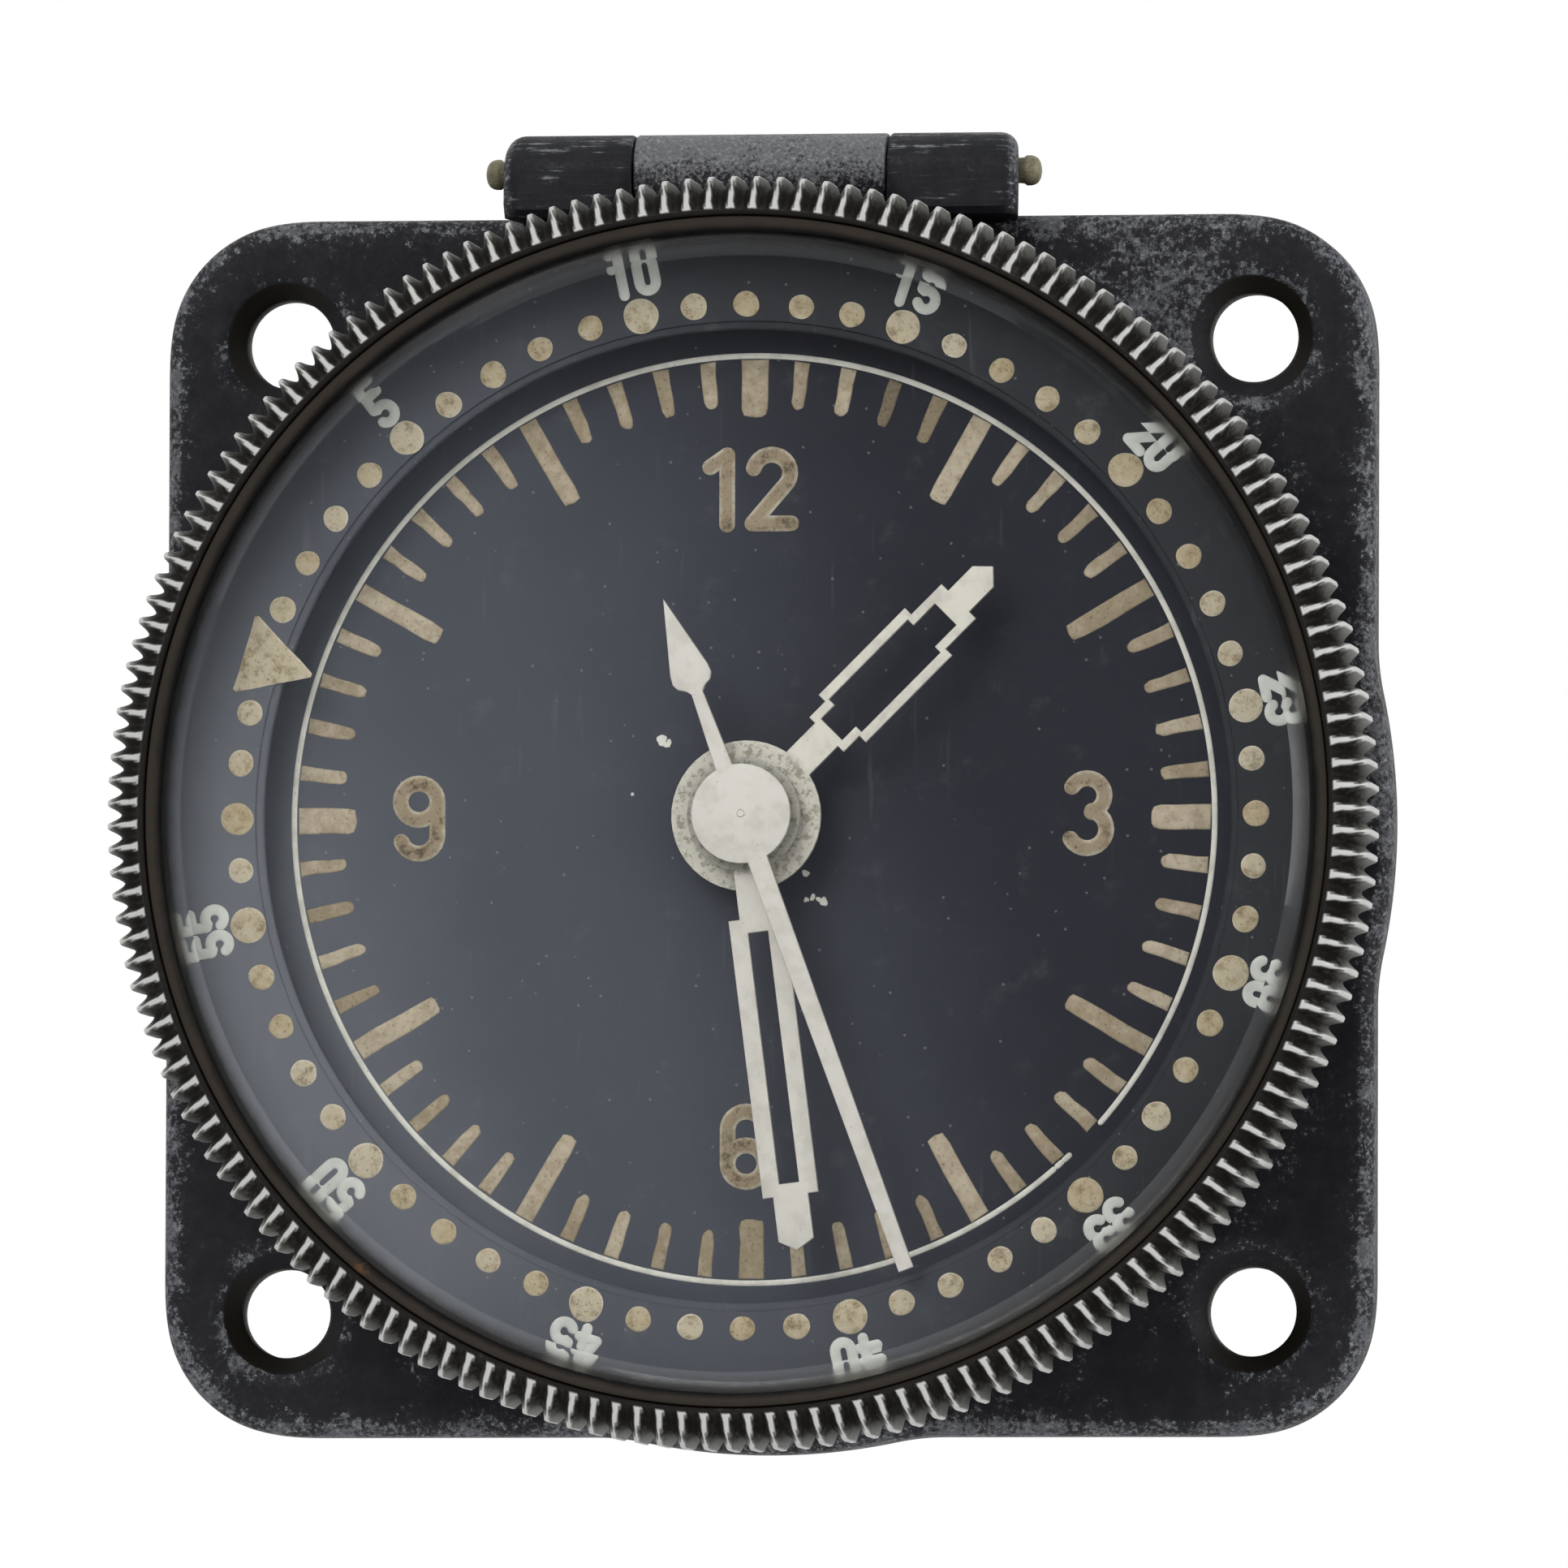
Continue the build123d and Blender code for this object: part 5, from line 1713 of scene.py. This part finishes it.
@dataclass
class KnurledBezel:
    """The turning bezel with its ridged knurling, inner teeth and seats."""

    teeth: int = 171
    samples: int = 12
    inner_teeth: int = 69
    inner_depth: float = 1.24
    inner_start: float = 2.309
    bore: float = 27.2
    skirt: float = 29.4
    mouth: float = 29.2
    seat: float = 28.4
    face: float = 29.48
    rear: float = 3.2
    knurl_rear: float = 9.5
    teeth_front: float = 5.4
    floor_curve: float = 1.6
    inner_mark: float = 0.12
    seat_low: float = 9.1
    seat_high: float = 12.4
    front: float = 14.7
    spines: tuple[float, ...] = (0.42, 0.3, 0.18, 0.13, 0.16, 0.22, 0.26, 0.26, 0.26, 0.26)
    flanks: tuple[float, ...] = (0.05, 0.08, 0.12, 0.18, 0.34, 0.48, 0.56, 0.56, 0.3, 0.2)
    crest: tuple[Flat, ...] = (
        (29.5, 14.66), (29.85, 14.5), (30.3, 14.2), (30.7, 13.9), (31.0, 13.62),
        (31.14, 13.3), (31.19, 12.9), (31.19, 10.1), (31.05, 9.7), (30.7, 9.5),
    )
    gap: tuple[Flat, ...] = (
        (29.5, 14.3), (29.7, 14.02), (29.95, 13.78), (30.18, 13.5), (30.38, 13.2),
        (30.5, 12.9), (30.56, 12.5), (30.56, 10.1), (30.52, 9.75), (30.4, 9.5),
    )
    seal_profile: tuple[Flat, ...] = (
        (29.17, 13.85), (29.17, 14.22), (29.08, 14.34), (28.86, 14.35), (28.62, 14.28),
        (28.46, 14.12), (28.42, 13.85),
    )

    def cut(self, angle: float, spine: float) -> float:
        """Give the depth of the knurling at an angle, as a share of the gap's depth.

        Args:
            angle: Direction in radians.
            spine: The width of the ridge's flat spine, as a share of the pitch.

        Returns:
            1 on the floor of a gap and 0 on a spine.
        """
        phase = (angle * self.teeth / FULL_TURN) % 1.0
        away = abs(phase - 0.5) * 2
        return 1 - min(1.0, away / (1 - spine)) ** self.floor_curve

    def ridges(self, angles: Sequence[float]) -> tuple[list[list[Point]], list[float]]:
        """Draw the knurling from its inner end round the outside to its rear.

        Args:
            angles: Directions in radians.

        Returns:
            The rows of points and each point's mark: 1 on a spine and 0 in a gap.
        """
        rows, marks = [], []
        for high, low, spine, flank in zip(self.crest, self.gap, self.spines, self.flanks):
            row = []
            for angle in angles:
                cut = self.cut(angle, spine)
                reach = high[0] + (low[0] - high[0]) * cut
                height = high[1] + (low[1] - high[1]) * cut
                row.append((reach * math.cos(angle), reach * math.sin(angle), height))
                marks.append(1.0 if cut < 0.02 else flank * (1 - cut) ** 0.5)
            rows.append(row)
        return rows, marks

    def rings(
        self, profile: Sequence[tuple[float, float, bool]], angles: Sequence[float]
    ) -> list[list[Point]]:
        """Draw plain or toothed rows inside the bezel.

        Args:
            profile: Radius, height and whether the row has the inner teeth.
            angles: Directions in radians.

        Returns:
            The rows of points.
        """
        rows = []
        for radius, height, toothed in profile:
            row = []
            for angle in angles:
                turn = angle - math.radians(self.inner_start)
                phase = (turn * self.inner_teeth / FULL_TURN) % 1.0
                reach = radius
                if toothed:
                    reach += self.inner_depth * (1 - abs(phase - 0.5) * 2)
                row.append((reach * math.cos(angle), reach * math.sin(angle), height))
            rows.append(row)
        return rows

    def build(self) -> None:
        """Build the knurled ring."""
        angles = ring_angles(self.teeth * self.samples)
        front = (
            (self.mouth, self.front - 0.15, False),
            (self.mouth + 0.1, self.front - 0.02, False),
            (self.face - 0.08, self.front, False),
        )
        behind = (
            (self.skirt + 0.2, self.knurl_rear - 0.02, False),
            (self.skirt, self.knurl_rear - 0.2, False),
            (self.skirt, self.rear + 0.2, False),
            (self.skirt - 0.2, self.rear, False),
            (self.bore, self.rear, True),
            (self.bore, self.teeth_front, True),
            (self.bore, self.teeth_front + 0.01, False),
            (self.bore, self.seat_low, False),
            (self.seat, self.seat_low, False),
            (self.seat, self.seat_high, False),
            (self.mouth, self.seat_high, False),
        )
        ridges, ridge_marks = self.ridges(angles)
        rows = self.rings(front, angles) + ridges + self.rings(behind, angles)
        marks = [0.0] * (len(front) * len(angles)) + ridge_marks
        marks += [self.inner_mark] * (len(behind) * len(angles))
        draft = MeshDraft()
        draft.rows(rows, marks, closed=True)
        draft.build("knurled_ring", Body.BEZEL, Slot.BEZEL_METAL, KNURL, ("bezel",), 50)
        self.seal()

    def seal(self) -> None:
        """Build the ring that holds the glass."""
        draft = MeshDraft()
        draft.turned(self.seal_profile, 360, (0.0, 0.4, 0.9, 1.0, 0.5, 0.0, 0.0))
        draft.build("seal_ring", Body.BEZEL, Slot.BROWN, SEAL_RING, ("glass_ring",), 50)


@dataclass
class CoverGlass:
    """The glass disc with its ground bevel."""

    radius: float = 29.25
    rear: float = 12.4
    front: float = 14.1
    bevel_width: float = 1.85
    bevel_height: float = 0.7

    def build(self) -> None:
        """Build the glass."""
        flat = self.radius - self.bevel_width
        profile = (
            (0.05, self.rear),
            (self.radius, self.rear),
            (self.radius, self.front - self.bevel_height),
            (flat, self.front),
            (0.05, self.front),
        )
        draft = MeshDraft()
        draft.turned(profile, 360, (0.0, 0.0, 1.0, 0.0, 0.0), closed=False)
        draft.build("cover_glass", Body.BEZEL, Slot.GLASS, GLASS, ("glass",), 10)


@dataclass
class MinuteScale:
    """The turning minute scale with its figures, dots and triangle."""

    inner: float = 23.9
    outer: float = 28.3
    low: float = 9.1
    top: float = 9.8
    first_angle: float = 288.0
    dot_place: float = 25.15
    dot_radius: float = 0.63
    five_dot_radius: float = 0.86
    wide_dots: tuple[Flat, ...] = ((33, 0.74), (57, 0.78))
    triangle: tuple[Flat, ...] = ((22.5, 0.0), (26.3, 4.5), (26.2, -4.4))
    figure_place: float = 27.1
    figure_size: Flat = (0.9, 1.66)
    figure_half: float = 0.26
    figure_gap: float = 1.27
    seed: int = 11

    def ring(self) -> None:
        """Build the scale's ring with its stepped inner edge."""
        profile = (
            (self.inner, self.low),
            (self.outer, self.low),
            (self.outer, self.top),
            (self.inner + 0.4, self.top),
            (self.inner + 0.34, self.top - 0.13),
            (self.inner + 0.08, self.top - 0.15),
            (self.inner, self.top - 0.22),
        )
        draft = MeshDraft()
        draft.turned(profile, 360)
        draft.build("scale_plate", Body.BEZEL, Slot.SCALE, SCALE_PAINT_AND_SHEEN, ("scale_ring",), 30)

    def dots(self) -> None:
        """Build the hand-painted dots and the triangle."""
        painter = HandOfPainter(self.seed)
        draft = MeshDraft()
        brush = PaintBrush(draft, self.top, 0.05)
        wider = dict(self.wide_dots)
        for i in range(1, MINUTES):
            at = on_clock(
                self.dot_place + painter.random.uniform(-0.06, 0.06),
                self.first_angle + 6 * i + painter.random.uniform(-0.15, 0.15),
            )
            radius = self.dot_radius if i % 5 else self.five_dot_radius
            radius = wider.get(i, radius) + painter.random.uniform(-0.03, 0.03)
            tone = painter.random.uniform(0.2, 0.75)
            brush.pad(painter.uneven_circle(radius, at, 0.05), tone, 0.1)
        tips = [on_clock(radius, self.first_angle + turn) for radius, turn in self.triangle]
        loop = []
        for tip, after in zip(tips, tips[1:] + tips[:1]):
            loop += [
                (tip[0] + (after[0] - tip[0]) * share, tip[1] + (after[1] - tip[1]) * share)
                for share in (0.04, 0.25, 0.5, 0.75, 0.96)
            ]
        brush.pad(painter.uneven(loop, 0.03), 0.35, 0.1)
        draft.build("scale_dots", Body.BEZEL, Slot.LUME, DOT_LUME, ("scale_markers",), 50)

    def numbers(self) -> None:
        """Build the numbers 5 to 55, their tops outwards."""
        draft = MeshDraft()
        brush = PaintBrush(draft, self.top, 0.03)
        for minute in range(5, MINUTES, 5):
            angle = self.first_angle + 6 * minute
            Figures().write(
                brush,
                str(minute),
                on_clock(self.figure_place, angle),
                angle,
                self.figure_size,
                self.figure_half,
                self.figure_gap,
            )
        draft.build("scale_numbers", Body.BEZEL, Slot.HAND_WHITE, FIGURE_ENAMEL, (), 50)

    def build(self) -> None:
        """Build the scale."""
        self.ring()
        self.dots()
        self.numbers()


@dataclass
class DialFace:
    """The dial with its white circle, luminous bars and four figures."""

    top: float = 6.9
    track: float = 22.6
    circle_radius: float = 22.8
    circle_half: float = 0.14
    circle_gaps: tuple[Flat, ...] = ((131.0, 136.6), (137.4, 137.9), (138.6, 139.2))
    minute_bar: Flat = (0.75, 2.35)
    hour_bar: Flat = (1.0, 4.6)
    quarter_bar: Flat = (1.3, 2.9)
    dark_bars: tuple[Flat, ...] = ((3, 1.3), (4, 1.2))
    bar_seed: int = 23
    numbers: tuple[tuple[str, Flat], ...] = (
        ("12", (-0.28, 16.2)), ("3", (16.5, 0.22)), ("6", (-0.3, -16.1)), ("9", (-16.6, 0.1)),
    )
    number_size: Flat = (2.0, 3.42)
    number_half: float = 0.39
    number_gap: float = 2.25
    flakes: tuple[Point, ...] = (
        (-4.55, 3.9, 0.27), (-4.25, 3.72, 0.19), (-6.0, 1.25, 0.09), (2.6, -2.68, 0.18),
        (2.64, -3.98, 0.13), (2.95, -3.86, 0.15), (3.24, -3.96, 0.13), (3.5, -4.08, 0.21),
        (9.3, -20.8, 0.1), (14.4, -19.0, 0.12),
    )
    flake_seed: int = 5

    def circle_line(self) -> None:
        """Build the painted circle, which is broken at the lower right."""
        draft = MeshDraft()
        brush = PaintBrush(draft, self.top, 0.03)
        edges = [angle for gap in self.circle_gaps for angle in gap]
        spans = [(edges[-1], edges[0] + 360.0)]
        spans += [(edges[i], edges[i + 1]) for i in range(1, len(edges) - 1, 2)]
        for start, end in spans:
            steps = max(2, round(end - start))
            path = [
                on_clock(self.circle_radius, start + (end - start) * i / steps)
                for i in range(steps + 1)
            ]
            brush.stroke(path, self.circle_half)
        draft.build("dial_circle", Body.CASE, Slot.HAND_WHITE, LINE_ENAMEL, (), 50)

    def bars(self) -> None:
        """Build the luminous bars, rounded at their inner ends."""
        painter = HandOfPainter(self.bar_seed)
        draft = MeshDraft()
        brush = PaintBrush(draft, self.top, 0.05)
        tones = dict(self.dark_bars)
        for i in range(MINUTES):
            width, length = self.minute_bar
            if i % 15 == 0:
                width, length = self.quarter_bar
            elif i % 5 == 0:
                width, length = self.hour_bar
            width += painter.random.uniform(-0.06, 0.06)
            inner = self.track - length + painter.random.uniform(-0.06, 0.06)
            half = width / 2
            taper, roundness = (0.8, 0.8) if i % 5 else (0.97, 0.4)
            flank = [
                (self.track + (inner - self.track) * share, half * (1 + (taper - 1) * share))
                for share in (0.3, 0.6, 0.85)
            ]
            shape = [(self.track, -half), (self.track, half)] + flank
            shape += [
                (inner + half * roundness * (1 - math.sin(a)), half * taper * math.cos(a))
                for a in (math.pi * k / 6 for k in range(1, 6))
            ]
            shape += [(x, -y) for x, y in reversed(flank)]
            loop = turned_loop(painter.uneven(shape, 0.035), 6 * i)
            tone = painter.random.uniform(0.2, 0.8)
            brush.pad(loop, tones.get(i, tone), 0.1)
        draft.build("dial_bars", Body.CASE, Slot.LUME, BAR_LUME, ("dial_markers",), 50)

    def figures(self) -> None:
        """Build the numbers 12, 3, 6 and 9."""
        draft = MeshDraft()
        brush = PaintBrush(draft, self.top, 0.07)
        size, half, gap = self.number_size, self.number_half, self.number_gap
        for text, at in self.numbers:
            Figures().write(brush, text, at, 0.0, size, half, gap)
        draft.build("dial_figures", Body.CASE, Slot.LUME, FIGURE_LUME, (), 50)

    def chips(self) -> None:
        """Build the flakes where white ground shows through the dial's paint."""
        painter = HandOfPainter(self.flake_seed)
        draft = MeshDraft()
        brush = PaintBrush(draft, self.top, 0.015)
        for x, y, radius in self.flakes:
            brush.pad(painter.uneven_circle(radius, (x, y), radius * 0.6, 12), 0.5, 0.03)
        draft.build("dial_chips", Body.CASE, Slot.HAND_WHITE, LINE_ENAMEL, (), 50)

    def build(self) -> None:
        """Build what is painted on the dial and dress the plate."""
        dress("dial", DIAL_PAINT_AND_SHEEN)
        self.circle_line()
        self.bars()
        self.figures()
        self.chips()


@dataclass
class Hand:
    """One flat hand with an open window and a round hub."""

    name: str
    node: str
    body: Body
    angle: float
    low: float
    outline: tuple[Flat, ...]
    window: tuple[Flat, ...]
    hub: float
    bore: float
    finish: Finish
    tail: tuple[Flat, ...] = ()
    thickness: float = 0.3

    def around_hub(self) -> list[Flat]:
        """Join the hand's outline and its tail to the hub.

        Returns:
            The outline, anticlockwise, drawn along +X.
        """
        first = [point for point in self.outline if point[0] > 0]
        half = self.outline[0][1]
        root = math.asin(min(1.0, half / self.hub))
        loop = [(x, -y) for x, y in first] + [(x, y) for x, y in reversed(first) if y > 0]
        if self.tail:
            rear_half = self.tail[0][1]
            rear = math.asin(rear_half / self.hub)
            steps = 14
            arc_up = [root + (math.pi - rear - root) * i / steps for i in range(steps + 1)]
            loop += [(self.hub * math.cos(a), self.hub * math.sin(a)) for a in arc_up]
            back = [point for point in self.tail if point[0] > 0]
            loop += [(-x, y) for x, y in back]
            loop += [(-x, -y) for x, y in reversed(back) if y > 0]
            loop += [(self.hub * math.cos(a), -self.hub * math.sin(a)) for a in reversed(arc_up)]
        else:
            steps = 40
            turns = [root + (FULL_TURN - 2 * root) * i / steps for i in range(steps + 1)]
            loop += [(self.hub * math.cos(a), self.hub * math.sin(a)) for a in turns]
        return loop

    def build(self) -> None:
        """Build the hand."""
        draft = MeshDraft()
        cutter = PlateCutter(draft, self.low, self.low + self.thickness, 0.06, 0.02, 2)
        holes = []
        if self.window:
            hole = [(x, -y) for x, y in self.window] + [*reversed(self.window)]
            holes.append(turned_loop(hole, self.angle))
        if self.bore:
            holes.append(circle(self.bore, 32))
        cutter.cut(turned_loop(self.around_hub(), self.angle), holes)
        draft.marks = [0.25 if mark > 0.2 else 0.0 for mark in draft.marks]
        draft.build(self.name, self.body, Slot.HAND_WHITE, self.finish, (self.node,), 40)


@dataclass
class HandSet:
    """The three hands and the rough tip of the arbor that carries them."""

    hour_outline: tuple[Flat, ...] = (
        (0.0, 0.8), (5.6, 0.8), (5.6, 1.2), (6.7, 1.2), (6.7, 1.65), (12.7, 1.65),
        (12.7, 1.2), (14.8, 1.2), (14.8, 0.73), (16.5, 0.73), (17.2, 0.0),
    )
    hour_window: tuple[Flat, ...] = (
        (5.95, 0.75), (6.9, 0.75), (6.9, 1.15), (12.4, 1.15), (12.4, 0.75), (13.9, 0.75),
    )
    minute_outline: tuple[Flat, ...] = (
        (0.0, 0.83), (5.1, 0.83), (5.1, 1.38), (18.8, 1.38), (18.8, 0.87), (21.0, 0.87),
        (21.5, 0.0),
    )
    minute_window: tuple[Flat, ...] = ((5.8, 0.5), (18.2, 0.5))
    second_outline: tuple[Flat, ...] = ((0.0, 0.5), (23.8, 0.38))
    second_tail: tuple[Flat, ...] = (
        (0.0, 0.42), (6.3, 0.29), (6.55, 0.5), (6.75, 0.84), (7.05, 1.0), (7.5, 0.97),
        (11.2, 0.0),
    )
    tip_radius: float = 0.2
    tip_base: float = 11.5
    tip_seed: int = 41

    def tip(self) -> None:
        """Build the arbor's tip in the middle of the second hand."""
        draft = MeshDraft()
        loop = HandOfPainter(self.tip_seed).uneven_circle(self.tip_radius, (0.0, 0.0), 0.05, 16)
        PaintBrush(draft, self.tip_base, 0.05).pad(loop, 0.5, 0.06)
        draft.build("arbor_tip", Body.SECONDS, Slot.HAND_WHITE, SECOND_ENAMEL, (), 50)

    def build(self) -> None:
        """Build the hands from the dial upwards."""
        Hand(
            "hand_hour", "hour_hand", Body.HOUR, angle=45.0, low=9.3, outline=self.hour_outline,
            window=self.hour_window, hub=3.7, bore=1.75, finish=HOUR_ENAMEL,
        ).build()
        Hand(
            "hand_minute", "minute_hand", Body.MINUTE, angle=172.7, low=10.2,
            outline=self.minute_outline, window=self.minute_window, hub=2.8, bore=1.2,
            finish=MINUTE_ENAMEL,
        ).build()
        Hand(
            "hand_second", "second_hand", Body.SECONDS, angle=159.8, low=11.2,
            outline=self.second_outline, window=(), hub=2.45, bore=0.0,
            finish=SECOND_ENAMEL, tail=self.second_tail,
        ).build()
        self.tip()


@dataclass
class RearCover:
    """The cover that closes the can, turned with a shallow step, and its four screws."""

    radius: float = 26.4
    rear: float = -13.0
    front: float = -11.8

    def build(self) -> None:
        """Build the cover and dress its screws."""
        profile = (
            (0.05, self.front),
            (self.radius, self.front),
            (self.radius, self.rear + 0.2),
            (self.radius - 0.2, self.rear),
            (self.radius - 4.2, self.rear),
            (self.radius - 4.4, self.rear + 0.15),
            (self.radius - 4.6, self.rear + 0.3),
            (self.radius - 5.4, self.rear + 0.3),
            (self.radius - 5.6, self.rear + 0.15),
            (self.radius - 5.8, self.rear),
            (0.05, self.rear),
        )
        marks = (0.0, 0.0, 0.8, 0.8, 0.1, 0.8, 0.1, 0.1, 0.8, 0.6, 0.1)
        draft = MeshDraft()
        draft.turned(profile, 180, marks, closed=False)
        draft.build("cover", Body.CASE, Slot.LACQUER, LACQUER_REAR, ("rear_cover",), 30)
        dress("rear_cover_screws", SCREW_METAL)


@dataclass
class Movement:
    """The works inside the can: plates, train, motion work, winding and escapement."""

    dressed: dict[str, Finish] = field(
        default_factory=lambda: {
            "bezel_spring": SPRING_METAL,
            "front_plate": PLATE_METAL,
            "rear_plate": PLATE_METAL,
            "plate_pillars": PLATE_METAL,
            "balance_cock": PLATE_METAL,
            "mainspring_barrel": PLATE_METAL,
            "barrel_cover": PLATE_METAL,
            "plate_screws": SCREW_METAL,
            "movement_screws": SCREW_METAL,
            "cock_screw": SCREW_METAL,
            "centre_tube": SCREW_METAL,
            "cannon_pinion": SCREW_METAL,
            "barrel_arbor": SCREW_METAL,
            "ratchet_wheel": SCREW_METAL,
            "winding_pinion": SCREW_METAL,
            "escape_wheel": SCREW_METAL,
            "pallet_fork": SCREW_METAL,
            "minute_wheel": WHEEL_METAL,
            "hour_wheel": WHEEL_METAL,
            "seconds_wheel": WHEEL_METAL,
            "third_wheel": WHEEL_METAL,
            "great_wheel": WHEEL_METAL,
            "balance_wheel": WHEEL_METAL,
            "mainspring": SPRING_METAL,
            "click_spring": SPRING_METAL,
            "hairspring": SPRING_METAL,
        }
    )

    def build(self) -> None:
        """Dress every node of the works."""
        for node, finish in self.dressed.items():
            dress(node, finish)


@dataclass
class Studio:
    """The camera at the photograph's angle, soft lamps, a white surround and a pale floor."""

    azimuth: float = 7.8
    elevation: float = -3.6
    distance: float = 1.15
    lens: float = 535.7
    target: Point = (0.83, 2.03, 2.5)
    roll: float = 0.2
    floor_height: float = -0.3
    floor_half: float = 4.0
    sensor_width: float = 36.0
    clip: Flat = (0.05, 50.0)
    surround: float = 0.8
    mirrored_front: float = 0.08
    mirrored_band: Flat = (-0.75, -0.15)
    lamps: tuple[tuple[str, Point, float, float], ...] = (
        ("key_lamp", (-0.3, -0.98, 0.52), 0.5, 3.6),
        ("side_lamp", (0.67, -0.74, 0.06), 0.25, 0.5),
        ("edge_lamp", (0.95, -0.2, 0.3), 0.5, 2.0),
    )

    def camera(self) -> None:
        """Place the camera."""
        data = bpy.data.cameras.new("camera")
        data.lens = self.lens
        data.sensor_width = self.sensor_width
        data.clip_start, data.clip_end = self.clip
        camera = add_object("camera", data)
        around, above = math.radians(self.azimuth), math.radians(self.elevation)
        level = math.cos(above)
        back = Vector((math.sin(around) * level, -math.cos(around) * level, math.sin(above)))
        target = Vector(face_point(*self.target))
        camera.location = target + back * self.distance
        camera.rotation_mode = "QUATERNION"
        roll = Quaternion((0.0, 0.0, 1.0), math.radians(self.roll))
        camera.rotation_quaternion = (-back).to_track_quat("-Z", "Y") @ roll
        bpy.context.scene.camera = camera

    def lamp(self, name: str, at: Point, size: float, power: float) -> None:
        """Place a soft square lamp that looks at the clock.

        Args:
            name: The lamp's name.
            at: Its place in metres.
            size: Its side.
            power: Its power in watts.
        """
        data = bpy.data.lights.new(name, "AREA")
        data.size = size
        data.energy = power
        lamp = add_object(name, data)
        lamp.location = at
        lamp.rotation_mode = "QUATERNION"
        lamp.rotation_quaternion = Vector(at).to_track_quat("Z", "Y")

    def world(self) -> None:
        """Make the surround: white where it is seen, softer where it lights the clock."""
        world = bpy.data.worlds.new("surround")
        bpy.context.scene.world = world
        world.use_nodes = True
        nodes = TreeWriter(world.node_tree)
        path = nodes.add("ShaderNodeLightPath").outputs
        bounced = nodes.total(path["Diffuse Depth"], path["Glossy Depth"])
        straight = nodes.math("LESS_THAN", bounced, 0.5)
        through = nodes.times(path["Is Transmission Ray"], straight)
        seen = nodes.math("MAXIMUM", path["Is Camera Ray"], through)
        split = nodes.add("ShaderNodeSeparateXYZ")
        nodes.join(nodes.add("ShaderNodeTexCoord").outputs["Generated"], split.inputs[0])
        low, high = self.mirrored_band
        mirrored = nodes.between(split.outputs["Y"], low, high, self.mirrored_front, 1.0)
        glossy = nodes.math("GREATER_THAN", path["Glossy Depth"], 0.5)
        light = nodes.mixed(glossy, self.surround, mirrored)
        background = nodes.add("ShaderNodeBackground")
        nodes.join(nodes.mixed(seen, light, 1.0), background.inputs["Strength"])
        background.inputs["Color"].default_value = (1.0, 1.0, 1.0, 1.0)
        output = nodes.add("ShaderNodeOutputWorld")
        nodes.join(background.outputs[0], output.inputs[0])

    def floor(self) -> None:
        """Lay the pale floor well below the clock."""
        half = self.floor_half
        mesh = bpy.data.meshes.new("floor")
        sheet = [(-half, -half), (half, -half), (half, half), (-half, half)]
        mesh.from_pydata([(x, y, self.floor_height) for x, y in sheet], [], [(0, 1, 2, 3)])
        nodes = NodeWriter("floor_paper")
        clouds = nodes.noise(0.01, 2.0)
        nodes.set(Base_Color=nodes.blend(clouds, (0.86, 0.86, 0.86, 1.0), (0.82, 0.82, 0.82, 1.0)))
        nodes.set(Roughness=0.9, Specular_IOR_Level=0.1)
        mesh.materials.append(nodes.material)
        add_object("floor", mesh)

    def build(self) -> None:
        """Set up the whole studio."""
        bpy.context.scene.view_settings.view_transform = "Standard"
        self.world()
        self.floor()
        for lamp in self.lamps:
            self.lamp(*lamp)
        self.camera()


def main() -> None:
    """Build the clock's pieces and the studio in order."""
    logging.basicConfig(level=logging.INFO, format="%(name)s %(message)s")
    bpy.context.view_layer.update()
    for assembly in (
        Casting(),
        RearCover(),
        Hinge(),
        Movement(),
        DialFace(),
        HandSet(),
        MinuteScale(),
        CoverGlass(),
        KnurledBezel(),
        Studio(),
    ):
        assembly.build()
        log.info("built %s", type(assembly).__name__)


if __name__ == "__main__":
    main()
